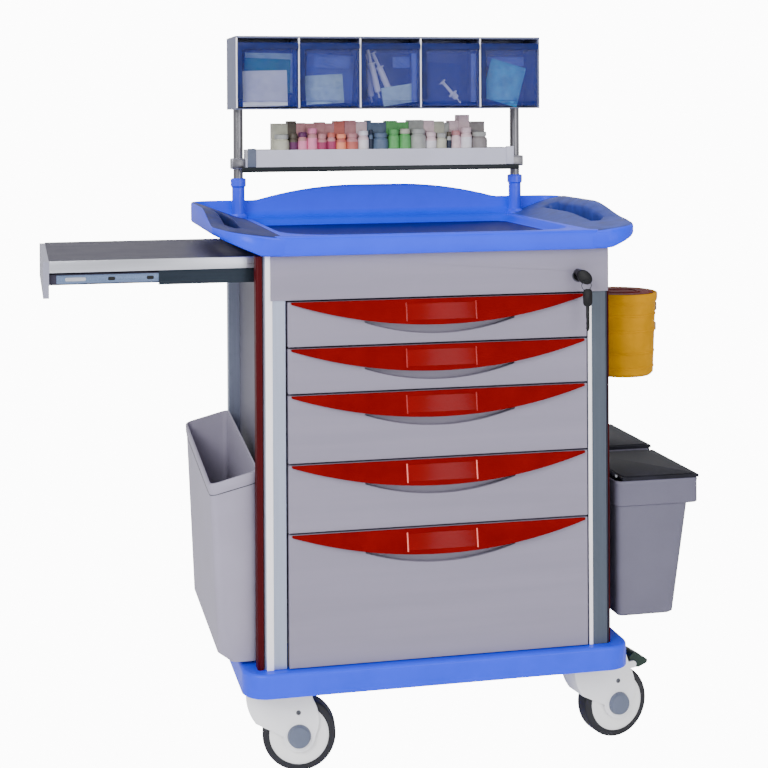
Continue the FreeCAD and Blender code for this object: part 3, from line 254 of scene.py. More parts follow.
def stage_floor():
    """A pale floor that curves up far behind the trolley and looks evenly white to the camera."""
    mesh = bpy.data.meshes.new("studio_floor")
    form = bmesh.new()
    near, bend, radius, crest, half = -6, 3, 2, 7, 9
    profile = [(near, 0), (bend, 0)]
    for angle in [math.radians(9 * i) for i in range(1, 11)]:
        profile.append((bend + radius * math.sin(angle), radius - radius * math.cos(angle)))
    profile.append((bend + radius, crest))
    rows = [[form.verts.new((x, y, z)) for y, z in profile] for x in (-half, half)]
    for near, far, far_next, near_next in zip(rows[0], rows[1], rows[1][1:], rows[0][1:]):
        form.faces.new((near, far, far_next, near_next))
    form.to_mesh(mesh)
    form.free()
    floor = bpy.data.objects.new("studio_floor", mesh)
    bpy.context.collection.objects.link(floor)
    for face in mesh.polygons:
        face.use_smooth = True
    finish = surface("studio_floor", tone(246, 246, 247), 0.8, mottle=0.008, mottle_scale=2, grain=0.02)
    nodes, links = finish.node_tree.nodes, finish.node_tree.links
    bright = nodes.new("ShaderNodeEmission")
    bright.inputs["Strength"].default_value = BACKDROP_STRENGTH
    view = nodes.new("ShaderNodeLightPath")
    pick = nodes.new("ShaderNodeMixShader")
    links.new(view.outputs["Is Camera Ray"], pick.inputs["Fac"])
    links.new(nodes["Principled BSDF"].outputs["BSDF"], pick.inputs[1])
    links.new(bright.outputs["Emission"], pick.inputs[2])
    links.new(pick.outputs["Shader"], nodes["Material Output"].inputs["Surface"])
    mesh.materials.append(finish)


def lamp(name, place, target, size, watts):
    """A rectangular area light aimed at target."""
    data = bpy.data.lights.new(name, "AREA")
    data.energy = watts
    data.shape = "RECTANGLE"
    data.size, data.size_y = size
    thing = bpy.data.objects.new(name, data)
    thing.location = place
    thing.rotation_euler = (Vector(target) - Vector(place)).to_track_quat("-Z", "Y").to_euler()
    bpy.context.collection.objects.link(thing)


def studio():
    """An even white sky and three soft lamps."""
    world = bpy.data.worlds.new("studio")
    world.use_nodes = True
    sky = world.node_tree.nodes["Background"]
    sky.inputs["Color"].default_value = (1, 1, 1, 1)
    sky.inputs["Strength"].default_value = SKY_STRENGTH
    bpy.context.scene.world = world
    for name, place, target, size, watts in LAMPS:
        lamp(name, place, target, size, watts)


def camera():
    """The camera left of the middle, level, with the lens shifted."""
    data = bpy.data.cameras.new("camera")
    data.lens = 71.37
    data.sensor_width = 36
    data.shift_x = 0.0599
    data.shift_y = -0.3569
    data.clip_end = 50
    thing = bpy.data.objects.new("camera", data)
    thing.location = at(-704.5, -2499.6, 1134.7)
    thing.rotation_euler = (math.pi / 2, 0.0052, -0.2087)
    bpy.context.collection.objects.link(thing)
    bpy.context.scene.camera = thing


camera()
stage_floor()
studio()


# ---------------------------------------------------------------- shapes


def piece(name, form, body, look, smooth=35):
    """Turns finished mesh code into an object that rides on a body."""
    bmesh.ops.recalc_face_normals(form, faces=form.faces)
    mesh = bpy.data.meshes.new(name)
    form.to_mesh(mesh)
    form.free()
    for face in mesh.polygons:
        face.use_smooth = True
    mesh.set_sharp_from_angle(angle=math.radians(smooth))
    thing = bpy.data.objects.new(name, mesh)
    bpy.context.collection.objects.link(thing)
    for finish in look if isinstance(look, (list, tuple)) else [look]:
        mesh.materials.append(finish)
    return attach(thing, body)


def block(name, x, y, z, body, look, slot=None, r=1.5, steps=3, spin=None):
    """A box with rounded edges, turned about its own middle by spin = (axis, degrees)."""
    low, high = at(x[0], y[0], z[0]), at(x[1], y[1], z[1])
    form = bmesh.new()
    bmesh.ops.create_cube(form, size=1)
    bmesh.ops.scale(form, vec=high - low, verts=form.verts)
    bmesh.ops.bevel(form, geom=form.edges[:], offset=r / 1000, segments=steps, profile=0.5, affect="EDGES")
    if spin:
        bmesh.ops.rotate(form, matrix=Matrix.Rotation(math.radians(spin[1]), 3, spin[0]), verts=form.verts)
    bmesh.ops.translate(form, vec=(low + high) / 2, verts=form.verts)
    return piece(name, form, body, look)


def skin(form, loops, closed=True, first_cap=True, last_cap=True, tag=None):
    """Joins loops of places into a surface. A loop of one place is a point."""
    rows = [[form.verts.new(place) for place in loop] for loop in loops]
    for index, (one, two) in enumerate(zip(rows, rows[1:])):
        count = max(len(one), len(two))
        for i in range(count if closed else count - 1):
            j = (i + 1) % count
            corners = [one[i % len(one)], one[j % len(one)], two[j % len(two)], two[i % len(two)]]
            corners = list(dict.fromkeys(corners))
            if len(corners) > 2:
                face = form.faces.new(corners)
                face.material_index = tag[index] if tag else 0
    for row, wanted in ((rows[0], first_cap), (rows[-1], last_cap)):
        if wanted and len(row) > 2:
            form.faces.new(row)
    return rows


def lathe(name, profile, centre, axis, body, look, steps=48, tag=None, smooth=35):
    """Turns (radius, distance along the axis) corners, in millimetres, about an axis through centre."""
    turn = Vector(axis).to_track_quat("Z", "Y").to_matrix()
    loops = []
    for radius, height in profile:
        angles = [2 * math.pi * i / steps for i in range(steps)] if radius > 0 else [0]
        loops.append(
            [
                centre + turn @ Vector((radius * math.cos(a), radius * math.sin(a), height)) / 1000
                for a in angles
            ]
        )
    form = bmesh.new()
    skin(form, loops, first_cap=profile[0][0] > 0, last_cap=profile[-1][0] > 0, tag=tag)
    return piece(name, form, body, look, smooth)


def rounded(corners, steps=6):
    """A closed outline whose corners (u, v, radius) are rounded."""
    outline = []
    for index, (u, v, radius) in enumerate(corners):
        here = Vector((u, v))
        before = Vector(corners[index - 1][:2]) - here
        after = Vector(corners[(index + 1) % len(corners)][:2]) - here
        if radius == 0:
            outline.append((u, v))
            continue
        back = radius / math.tan(before.angle(after) / 2)
        start = here + before.normalized() * min(back, before.length * 0.49)
        end = here + after.normalized() * min(back, after.length * 0.49)
        for step in range(steps + 1):
            t = step / steps
            spot = start * (1 - t) ** 2 + here * 2 * t * (1 - t) + end * t * t
            outline.append((spot.x, spot.y))
    return outline


def rectangle(x, y, radius, steps=6):
    """A rounded rectangle as an outline."""
    corners = [(x[0], y[0]), (x[1], y[0]), (x[1], y[1]), (x[0], y[1])]
    return rounded([(u, v, radius) for u, v in corners], steps)


PLANES = {
    "XY": lambda u, v, w: at(u, v, w),
    "XZ": lambda u, v, w: at(u, w, v),
    "YZ": lambda u, v, w: at(w, u, v),
}


def extrude(name, outline, plane, low, high, body, look, r=0.6, steps=2):
    """An outline carried from low to high across its plane, with softened end edges."""
    place = PLANES[plane]
    form = bmesh.new()
    rows = skin(form, [[place(u, v, w) for u, v in outline] for w in (low, high)])
    if r:
        rims = [edge for edge in form.edges if all(v in rows[0] for v in edge.verts)]
        rims += [edge for edge in form.edges if all(v in rows[1] for v in edge.verts)]
        bmesh.ops.bevel(form, geom=rims, offset=r / 1000, segments=steps, profile=0.5, affect="EDGES")
    return piece(name, form, body, look)


def wire(name, places, radius, body, look, closed=False):
    """A round bar or ring along smooth points."""
    curve = bpy.data.curves.new(name, "CURVE")
    curve.dimensions = "3D"
    curve.bevel_depth = radius / 1000
    curve.bevel_resolution = 4
    curve.use_fill_caps = True
    spline = curve.splines.new("NURBS")
    spline.points.add(len(places) - 1)
    for point, place in zip(spline.points, places):
        point.co = (*place, 1)
    spline.use_cyclic_u = closed
    spline.order_u = 4
    spline.use_endpoint_u = not closed
    curve.materials.append(look)
    thing = bpy.data.objects.new(name, curve)
    bpy.context.collection.objects.link(thing)
    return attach(thing, body)


LOOKS = MATERIALS | {
    "silver": surface("silver", tone(196, 198, 208), 0.3, metal=0.8, stretch=ACROSS, mottle=0.04),
    "slide_bright": surface("slide_bright", tone(120, 140, 176), 0.25, metal=0.8, stretch=ACROSS, mottle=0.1),
    "slide_dark": surface("slide_dark", tone(30, 34, 38), 0.35, metal=0.5, stretch=ACROSS, mottle=0.15),
    # Painted highlight white and painted shade colours for the columns; the white also marks the housing
    # dividers' edges.
    "highlight_white": surface("highlight_white", tone(252, 248, 253), 0.3, stretch=DRAWN, mottle=0.03),
    "column_painted_shade": surface("column_painted_shade", tone(74, 82, 94), 0.4, stretch=DRAWN, mottle=0.06, specular=0.2),
    "column_edge_painted_shade": surface("column_edge_painted_shade", tone(40, 40, 54), 0.4, stretch=DRAWN, mottle=0.08, specular=0.2),
    "worktop_floor_shade": surface(
        "worktop_floor_shade", tone(8, 14, 92), 0.45, mottle=0.12, mottle_scale=6, specular=0.15
    ),
    "grip_mottled_highlight": surface(
        "grip_mottled_highlight", tone(44, 62, 146), 0.5, mottle=0.35, mottle_scale=38, specular=0.25
    ),
    "grip_shade": surface("grip_shade", tone(24, 34, 96), 0.5, mottle=0.4, mottle_scale=38, specular=0.2),
    "pane": surface("pane", tone(118, 0, 2), 0.25, mottle=0.08, specular=0.12),
    "pane_edge_highlight": surface("pane_edge_highlight", tone(236, 110, 100), 0.3),
    "pane_edge_dim_highlight": surface("pane_edge_dim_highlight", tone(150, 14, 14), 0.3, mottle=0.1),
    "cap_grey": surface("cap_grey", tone(96, 104, 124), 0.4, mottle=0.08),
    "screw": surface("screw", tone(90, 92, 98), 0.3, metal=0.9, mottle=0.2, mottle_scale=300),
    # Painted shade for holes and openings.
    "hole_shade": surface("hole_shade", tone(16, 16, 20), 0.7),
    "bin_shade": surface("bin_shade", tone(12, 26, 84), 0.4, mottle=0.25, mottle_scale=40, specular=0.2),
    "bin_sheen": surface("bin_sheen", tone(84, 104, 190), 0.4, mottle=0.2, mottle_scale=40),
    "waste_grey_shaded": surface("waste_grey_shaded", tone(98, 96, 114), 0.5, mottle=0.05, grain=0.16),
    "paper": surface("paper", tone(236, 240, 244), 0.6, mottle=0.1, mottle_scale=60, grain=0.2),
    "teal": surface("teal", tone(0, 120, 80), 0.5, mottle=0.2, mottle_scale=60),
    "pale_blue": surface("pale_blue", tone(176, 210, 224), 0.35, mottle=0.2, mottle_scale=70, grain=0.2),
    "bag_blue": surface("bag_blue", tone(60, 170, 224), 0.25, mottle=0.3, mottle_scale=60),
    "clear_white": surface("clear_white", tone(232, 234, 250), 0.2, mottle=0.1),
}
LABEL_TONES = {
    "cream": (186, 186, 168),
    "umber": (84, 76, 66),
    "plum": (96, 44, 88),
    "rose": (190, 132, 136),
    "pink": (232, 140, 176),
    "magenta": (166, 62, 104),
    "orange": (242, 146, 112),
    "salmon": (196, 104, 94),
    "white": (224, 220, 228),
    "ink": (34, 44, 66),
    "slate": (88, 106, 132),
    "green": (92, 168, 96),
    "ash": (166, 168, 164),
    "blush": (222, 196, 202),
    "stone": (136, 130, 130),
}
for word, colour in LABEL_TONES.items():
    LOOKS[word] = surface(f"label_{word}", tone(*colour), 0.45, mottle=0.12, mottle_scale=80)


def screw(name, centre, axis, body, radius=3.2):
    """A domed screw head with a cross recess."""
    profile = [(0, 0.5), (0.9, 0.5), (1.1, 1.5), (radius * 0.6, 1.4), (radius * 0.9, 0.8), (radius, 0)]
    return lathe(name, profile, centre, axis, body, LOOKS["screw"], steps=20)


# ---------------------------------------------------------------- worktop and columns


def ease(t):
    """0 to 1 with soft ends."""
    t = min(1, max(0, t))
    return t * t * (3 - 2 * t)


def matched(outline, other, step=14):
    """Divides two outlines of equal count alike, so that no side is longer than step."""
    one, two = [], []
    for i in range(len(outline)):
        j = (i + 1) % len(outline)
        longest = max(math.dist(outline[i], outline[j]), math.dist(other[i], other[j]))
        parts = max(1, math.ceil(longest / step))
        for part in range(parts):
            t = part / parts
            one.append(Vector(outline[i]).lerp(Vector(outline[j]), t))
            two.append(Vector(other[i]).lerp(Vector(other[j]), t))
    return one, two


def close_up(form):
    """Merges points that lie on each other."""
    bmesh.ops.remove_doubles(form, verts=form.verts, dist=CLOSE)


SLAB_HIGH, SLAB_FRONT, SLAB_HALF = 33, -18, 290
RECESS_HALF, RECESS_FRONT, RECESS_BACK = 262, 6, 430
GUARD_BEND, GUARD_INSET = 34, 44


def worktop():
    """The moulded top in one mesh: dished slab, two raised grip loops and the arched guard."""
    low, high = reach("worktop")
    back, under = high.y, low.z
    top = under + SLAB_HIGH
    front, wide = SLAB_FRONT, SLAB_HALF
    form = bmesh.new()

    def flat(x, y, corner, z):
        return [at(u, v, z) for u, v in rectangle(x, y, corner, 8)]

    loops = []
    for inset, z in ((6, under), (1.5, under + 1.2), (0, under + 5), (0, top - 5), (1.5, top - 1.4), (5, top)):
        loops.append(flat((-wide + inset, wide - inset), (front + inset, back - inset), 22 - inset, z))
    for inset, z in ((0, top), (1.5, top - 0.6), (5, top - 5), (8, top - 11), (11, top - 14), (16, top - 15)):
        x, y = RECESS_HALF - inset, (RECESS_FRONT + inset, RECESS_BACK - inset)
        near, far = 110 - inset * 2, 42 - inset
        corners = rounded([(-x, y[0], near), (x, y[0], near), (x, y[1], far), (-x, y[1], far)], 8)
        loops.append([at(u, v, z) for u, v in corners])
    # The recess floor takes a darker navy than the rest of the top: painted shade in the recess.
    skin(form, loops, tag=[0] * 8 + [0, 0, 1, 1])
    form.faces.ensure_lookup_table()
    form.faces[-1].material_index = 1

    for side in SIDES.values():
        outline = rounded(
            [
                (side * RECESS_HALF, front + 0.1, 3),
                (side * 352, front + 0.1, 62),
                (side * (high.x - 0.5), 88, 60),
                (side * (high.x - 0.5), back - 44, 50),
                (side * 344, back - 2, 44),
                (side * RECESS_HALF, back - 2, 3),
            ],
            8,
        )
        hole = rounded(
            [
                (side * 324, 128, 7),
                (side * 334, 114, 10),
                (side * 349, 134, 12),
                (side * 349, 366, 12),
                (side * 337, 384, 10),
                (side * 324, 376, 7),
            ],
            8,
        )
        outline, hole = matched(outline, hole)

        def level(spot, share, drop):
            """Between the wing's underside (share 0) and its top (share 1), which both rise outwards."""
            lean = max(0, min(1, (abs(spot.x) - 281) / 97))
            crest = top - 0.4 + lean * (12 + 25 * ease((spot.y - 80) / 170))
            keel = under + 0.42 * max(0, abs(spot.x) - 305)
            return keel + (crest - keel) * share - drop

        loops = []
        course = [(0.1, 0, 0), (0.02, 0, -1), (0, 0, -4), (0, 1, 5), (0.03, 1, 1.5), (0.12, 1, 0)]
        course += [(0.5, 1, -1.5), (0.88, 1, 0), (0.97, 1, 1.5), (1, 1, 5)]
        course += [(1, 0, -4), (0.98, 0, -1), (0.9, 0, 0), (0.1, 0, 0)]
        for t, share, drop in course:
            spots = [one.lerp(two, t) for one, two in zip(outline, hole)]
            loops.append([at(spot.x, spot.y, level(spot, share, drop)) for spot in spots])
        # The grips' tops take darker blues than the slab: the left one dark as painted shade, the right one
        # with strong mottling standing for painted highlights.
        tag = [0] * 4 + [3 if side < 0 else 2] * 6 + [0] * 3
        skin(form, loops, first_cap=False, last_cap=False, tag=tag)

    # The guard runs along the back and turns forwards at both ends.
    bend, corner_x, corner_y = GUARD_BEND, high.x - GUARD_INSET, back - GUARD_INSET
    path = [(x, corner_y + bend, 0, 1) for x in range(0, round(corner_x), 10)]
    for a in [math.radians(9 * i) for i in range(11)]:
        out, away = math.sin(a), math.cos(a)
        path.append((corner_x + bend * out, corner_y + bend * away, out, away))
    path += [(corner_x + bend, corner_y - 20 * i, 1, 0) for i in range(1, 7)]
    path = [(-x, y, -out, away) for x, y, out, away in reversed(path[1:])] + path
    loops = []
    for x, y, out, away in path:
        crest = max(high.z - 28, high.z - 34 * max(0, (abs(x) - 40) / 225) ** 2)
        shape = [(-16, top - 0.5), (-8, top + 1.5), (-3, top + 6), (-0.5, top + 14), (0, crest - 4)]
        shape += [(0.8, crest - 1.4), (2.6, crest - 0.2), (5.4, crest - 0.2), (7.2, crest - 1.4)]
        shape += [(8, crest - 4), (8, top - 0.5)]
        loops.append([at(x + out * across, y + away * across, z) for across, z in shape])
    skin(form, loops)
    close_up(form)
    looks = [LOOKS["worktop_blue"], LOOKS["worktop_floor_shade"], LOOKS["grip_mottled_highlight"], LOOKS["grip_shade"]]
    thing = piece("worktop_shell", form, "cart", looks, smooth=50)
    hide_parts("worktop")


def column_details():
    """Painted light on the front columns: a white strip as a painted highlight on each, and the right column's
    front face and outer edge in painted shade.
    """
    low, high = reach("corner_columns")
    strips = [
        # Thin sheets on the columns' fronts: the white ones are painted highlights, the dark ones painted
        # shade.
        ("highlight_left", (-300.5, -288.5), 1.4, low.z + 0.5, high.z - 0.5, "highlight_white"),
        ("highlight_right", (266.5, 273.5), 1.4, low.z + 0.5, 806, "highlight_white"),
        ("shaded_face_right", (274, 299.5), 0.8, low.z + 0.5, high.z - 0.5, "column_painted_shade"),
        ("shaded_edge_right", (299.8, high.x - 3), 0.8, low.z + 0.5, high.z - 0.5, "column_edge_painted_shade"),
    ]
    for name, x, proud, foot, head, look in strips:
        outline = rounded([(x[0], -proud, 1.3), (x[1], -proud, 1.3), (x[1], 0.6, 0), (x[0], 0.6, 0)], 4)
        extrude(f"column_{name}", outline, "XY", foot, head, "cart", LOOKS[look], r=0.2)


# ---------------------------------------------------------------- drawers and lock


GRIP_ROOT, GRIP_HIGH = -8.0, 45


def drawer_details(number):
    """The label window on a grip: a glossy pane with two side edges painted as bright highlights, brighter on
    drawers 4 and 5.
    """
    low, high = reach(f"drawer_handle_{number}")
    body = f"drawer_{number}"
    top = high.z + 1.5
    lean = (GRIP_ROOT - low.y) / GRIP_HIGH

    def face(drop):
        return GRIP_ROOT - lean * drop

    def band(first, last, proud):
        return [
            (face(first) - proud, top - first),
            (face(last) - proud, top - last),
            (face(last) + 1, top - last),
            (face(first) + 1, top - first),
        ]

    pane = band(9, 36, 0.5)
    extrude(f"label_pane_{number}", pane, "YZ", -60, 60, body, LOOKS["pane"], r=0.4)
    for word, side in SIDES.items():
        middle = side * 61.2
        # The side edges are painted highlights: pink-white on drawers 4 and 5, a lighter red on the others.
        extrude(
            f"label_edge_highlight_{number}_{word}",
            band(7, 38, 1.1),
            "YZ",
            middle - 1.2,
            middle + 1.2,
            body,
            LOOKS["pane_edge_highlight" if number > 3 else "pane_edge_dim_highlight"],
            r=0.5,
        )


def lock_details():
    """Rosette round the barrel, and a ring through the key with a second key hanging from it."""
    joint = next(j for j in frame["record"]["behaviour"]["joints"] if j["name"] == "lock_turn")
    x, _, z = cabinet(joint["pos_m"])
    front = reach("top_fascia")[0].y
    lathe(
        "lock_rosette",
        [(9.7, 0), (11.6, 0), (11.6, 0.8), (10.8, 1.5), (9.7, 1.5)],
        at(x, front, z),
        (0, -1, 0),
        "cart",
        LOOKS["lock_steel"],
    )
    oval = [(15.5 * math.cos(a), 11 * math.sin(a)) for a in [math.radians(20 * i) for i in range(18)]]
    black, slot = LOOKS["key_black"], "key_black"
    across, along = math.cos(math.radians(-40)), math.sin(math.radians(-40))
    turned = [(u * across - v * along, u * along + v * across) for u, v in oval]
    bow = [(x + u, z + v) for u, v in turned]
    extrude("key_bow", bow, "XZ", front - 33, front - 27, "lock_cylinder", black, r=1.6)
    angles = [math.radians(30 * i) for i in range(12)]
    ring = [at(x + 2 + 9 * math.sin(a), front - 34, z - 14 - 9 * math.cos(a)) for a in angles]
    wire("key_ring", ring, 0.6, "cart", LOOKS["slide_dark"], closed=True)
    left, right, crest = x - 4, x + 12, z - 20
    bow = rounded([(left, crest, 6), (right, crest, 6), (right, crest - 30, 7), (left, crest - 30, 7)])
    extrude("spare_key_bow", bow, "XZ", front - 35.5, front - 32.5, "cart", black, r=1.2)
    middle, foot = (left + right) / 2, crest - 29
    blade = [(-3, 0), (3, 0), (3, -38), (1, -43), (-1, -43)]
    blade += [(-3, -39), (-1.8, -34), (-3, -30), (-1.8, -24), (-3, -19)]
    blade = [(middle + u, foot + v) for u, v in blade]
    extrude("spare_key_blade", blade, "XZ", front - 34.8, front - 33.2, "cart", black, r=0.3)


# ---------------------------------------------------------------- casters


def caster_details(corner):
    """Wheel discs, hub caps, hood screws and the swivel's dust collar."""
    joints = {joint["name"]: joint for joint in frame["record"]["behaviour"]["joints"]}
    roll = joints[f"wheel_{corner}_roll"]
    swivel = joints[f"caster_{corner}_swivel"]
    wheel, fork = f"wheel_{corner}", f"caster_{corner}"
    hub = Vector(roll["pos_m"])
    pivot = Vector(swivel["pos_m"])
    axle = Vector(roll["axis"])
    ahead = (hub - pivot) * Vector((1, 1, 0))
    ahead.normalize()
    for word, side in SIDES.items():
        out = axle * side
        disc = [(12, 15.2), (26, 15.6), (40, 17.2), (46, 17.4), (50, 16.4), (51.6, 14.6)]
        lathe(f"wheel_disc_{corner}_{word}", disc, hub, out, wheel, LOOKS["rim_white"], 64)
        cap = [(0, 33.4), (14, 33.2), (17, 32.2), (18.4, 30), (19.6, 26), (20.4, 23.0)]
        lathe(f"hub_cap_{corner}_{word}", cap, hub, out, fork, LOOKS["cap_grey"])
        seat = hub + Vector((0, 0, 0.040)) - ahead * 0.001 + out * 0.024
        screw(f"hood_screw_{corner}_{word}", seat, out, fork, 4.2)
    top = Vector((pivot.x, pivot.y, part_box(f"caster_fork_{corner}")[1].z))
    collar = [(19, 0), (24, 0), (24, 0.8), (21, 1.6), (19, 1.6)]
    lathe(f"swivel_collar_{corner}", collar, top, (0, 0, 1), fork, LOOKS["rail_steel"])


# ---------------------------------------------------------------- side shelf


LIP_LONG, LIP_FOOT = 372, 869
SLIDE_LONG, SLIDE_FOOT, SLIDE_TOP = 480, 850, 864


def shelf_details():
    """Bright lips along the board's two long edges and the near slide's face with its slots."""
    low, high = reach("shelf_board")
    front = low.y
    pull_high = reach("shelf_pull")[1]
    end, rear = pull_high.x, pull_high.y
    lips = {"shelf_lip": (front - 1.5, front + 1), "shelf_lip_rear": (rear - 1, rear + 1.5)}
    for name, y in lips.items():
        block(
            name,
            (end, end + LIP_LONG),
            y,
            (LIP_FOOT, high.z + 0.4),
            "side_shelf",
            LOOKS["silver"],
            "shelf_grey",
            r=0.8,
        )
    bar = front + 6.5
    block(
        "slide_face",
        (end + 12, end + SLIDE_LONG),
        (bar - 0.32, bar + 0.4),
        (SLIDE_FOOT, SLIDE_TOP),
        "side_shelf",
        LOOKS["slide_bright"],
        "slide_steel",
        r=0.15,
        steps=1,
    )
    # The first slot is filled silver as a painted highlight; the other two are dark plates of painted shade in
    # the holes.
    for index, shift in enumerate((26, 96, 160)):
        long = 34 if index == 0 else 12
        slot = rectangle((end + shift, end + shift + long), (SLIDE_FOOT + 4, SLIDE_TOP - 4), 2.8)
        extrude(
            f"slide_slot_{index}",
            slot,
            "XZ",
            bar - 0.42,
            bar,
            "side_shelf",
            LOOKS["silver" if index == 0 else "hole_shade"],
            r=0,
        )


# ---------------------------------------------------------------- sharps tub and waste bins


TUB_HIGH = 149


def tub_details():
    """Moulded bands round the tub, the flap's drop opening as a dark plate of painted shade, and two catches.
    """
    low, high = reach("sharps_tub")
    lid_high = reach("sharps_lid")[1]
    radius = (high.y - low.y) / 2
    x, y = high.x - radius, (low.y + high.y) / 2
    foot = low.z
    crown = foot + TUB_HIGH
    yellow, slot = LOOKS["tub_yellow"], "tub_yellow"

    def side_at(z):
        """The wall's radius: it widens by 5 between 5 and 131 above the foot."""
        return radius - 6 + 5 * (z - foot - 5) / 126

    for index, height in enumerate((foot + 16, foot + 44, foot + 84, foot + 112)):
        r = side_at(height)
        band = [(r - 0.4, -2.4), (r + 0.7, -1.6), (r + 1.0, 0), (r + 0.7, 1.6), (r - 0.4, 2.4)]
        lathe(f"tub_band_{index}", band, at(x, y, height), (0, 0, 1), "cart", yellow, 72)
    rim = [(-2, -1), (-1.6, 1.5), (0.4, 2.4), (2.4, 1.4), (2.8, -2), (2.4, -10), (0.8, -14)]
    rim = [(radius + out, crown + up) for out, up in rim]
    lathe("tub_rim", rim, at(x, y, 0), (0, 0, 1), "cart", yellow, 72)
    for index, drop in enumerate((27, 64)):
        height = crown - drop
        r = side_at(height)
        spot = ((x + r - 1, x + r + 6), (y - 8, y + 8), (height - 8, height + 8))
        block(f"tub_catch_{index}", *spot, "cart", LOOKS["screw"], r=2.4)
    top = lid_high.z - 7.4
    drop = rounded([(x - 22, y - 20, 14), (x + 30, y - 24, 20), (x + 30, y + 24, 20), (x - 22, y + 20, 14)], 8)
    # The drop opening is a dark plate: painted shade where the hole into the tub is.
    extrude("flap_opening", drop, "XY", top - 1, top + 0.4, "sharps_flap", LOOKS["hole_shade"], r=0.2)
    ring = rounded([(x - 28, y - 26, 18), (x + 36, y - 30, 24), (x + 36, y + 30, 24), (x - 28, y + 26, 18)], 8)
    form = bmesh.new()
    base, crest = top - 1, top + 2.6
    loops = [[at(u, v, base) for u, v in ring], [at(u, v, crest) for u, v in ring]]
    loops += [[at(u, v, crest) for u, v in drop], [at(u, v, base) for u, v in drop]]
    skin(form, loops, first_cap=False, last_cap=False)
    piece("flap_collar", form, "sharps_flap", LOOKS["tub_lid_red"])


HOOKS_DEEP = 13


def left_bin():
    """Thin-walled bin with rounded corners and a rim that slopes forwards and outwards."""
    low, high = reach("left_waste_bin")
    inner, bottom, top = high.x - HOOKS_DEEP, low.z, high.z
    y = (low.y, high.y)
    outwards, forwards = math.tan(math.radians(14.5)), math.tan(math.radians(5))

    def rim(u, v):
        """The sloping rim's height."""
        return top - (inner - u) * outwards - (y[1] - v) * forwards

    def outer(z):
        """The outer wall's place: it leans outwards with height."""
        return low.x - 0.4 + (top + 58 - z) * 0.041

    def ring(height, inset):
        """A loop at a share of the bin's height, inset from its outer face."""
        loop = []
        side = outer(bottom + (top - bottom) * height)
        if height < 0.05:
            side += 20 * (1 - height / 0.05)
        outline = rectangle((side + inset, inner - inset), (y[0] + inset, y[1] - inset), 14 - inset * 0.8, 5)
        for u, v in outline:
            z = bottom + 3 * (inset > 1.5) * (height < 0.02) + (rim(u, v) - bottom) * height
            loop.append(at(u, v, z))
        return loop

    form = bmesh.new()
    loops = [ring(h, 0) for h in (0, 0.02, 0.05, 0.3, 0.6, 0.94)]
    loops += [ring(0.955, -1.4), ring(0.995, -1.4), ring(1.0, -0.6), ring(1.0, 2.2), ring(0.97, 3)]
    loops += [ring(h, 3) for h in (0.6, 0.3, 0.05, 0.01)]
    skin(form, loops)
    thing = piece("waste_bin_shell_left", form, "cart", LOOKS["waste_grey"])
    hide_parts("left_waste_bin")
    # A thin dark bar just under the rolled rim: painted shade along the rim's edge.
    line = [Vector(place) for place in ring(0.935, -0.2)]
    wire("waste_bin_rim_shade_line", line, 0.7, "cart", LOOKS["screw"], closed=True)


BIN_X, BIN_LONG, BIN_PITCH, BIN_STEP = (325, 482), 202, 209, 7
LID_TOP, PIN_X = 484, 332
SKIRT_FOOT = {"front": 478.6, "rear": 466}


def right_bins():
    """Two tapered bins, each with a deep collar round its mouth, and the lids' fields, skirts and pins."""
    nearest = reach("right_waste_bins")[0].y
    bins = {"front": (nearest, 0), "rear": (nearest + BIN_PITCH, BIN_STEP)}
    form = bmesh.new()
    for front, raised in bins.values():
        y = (front, front + BIN_LONG)
        x = BIN_X

        def loop(x, y, z, corner):
            return [at(u, v, z + raised) for u, v in rectangle(x, y, corner, 5)]

        def ring(z, right, inset, corner):
            """A loop of the tapered body, which stands 3 inside the collar."""
            gap = 3 + inset
            return loop((x[0] + gap, right - inset), (y[0] + gap, y[1] - gap), z, corner)

        def collar(z, inset, corner=14):
            return loop((x[0] + inset, x[1] - inset), (y[0] + inset, y[1] - inset), z, corner)

        loops = [ring(240, 431, 3, 10), ring(243, 434.4, 0, 13), ring(338, 448.7, 0, 13)]
        loops += [ring(433, 463, 0, 13)]
        loops += [collar(434, 1), collar(435.4, 0), collar(471, 0), collar(475, -0.6), collar(477.4, 0.4)]
        loops += [collar(478, 2), collar(477, 3.4, 12), collar(437, 3.6, 12)]
        loops += [ring(436, 463, 3, 10), ring(338, 448.7, 3, 10), ring(243, 434.4, 3, 10)]
        skin(form, loops)
    # The right bins take a darker copy of the left bin's grey: painted shade.
    thing = piece("waste_bin_shells_right", form, "cart", LOOKS["waste_grey_shaded"])
    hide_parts("right_waste_bins")
    for word, (front, raised) in bins.items():
        pin = LID_TOP + raised
        edge = rectangle((341, 478), (front + 6, front + 196), 12)
        extrude(
            f"lid_field_{word}",
            edge,
            "XY",
            pin - 1,
            pin + 1,
            f"{word}_waste_lid",
            LOOKS["waste_lid"],
            r=1.2,
        )
        block(
            f"lid_skirt_{word}",
            (344, 479),
            (front + 1.5, front + 4.5),
            (SKIRT_FOOT[word] + raised, pin),
            f"{word}_waste_lid",
            LOOKS["waste_lid"],
            "waste_lid",
            r=0.8,
        )
        wire(
            f"lid_pin_{word}",
            [at(PIN_X, front + y, pin) for y in (16, 80, 186)],
            2.2,
            "cart",
            LOOKS["rail_steel"],
        )


# ---------------------------------------------------------------- overhead unit and what lies in it


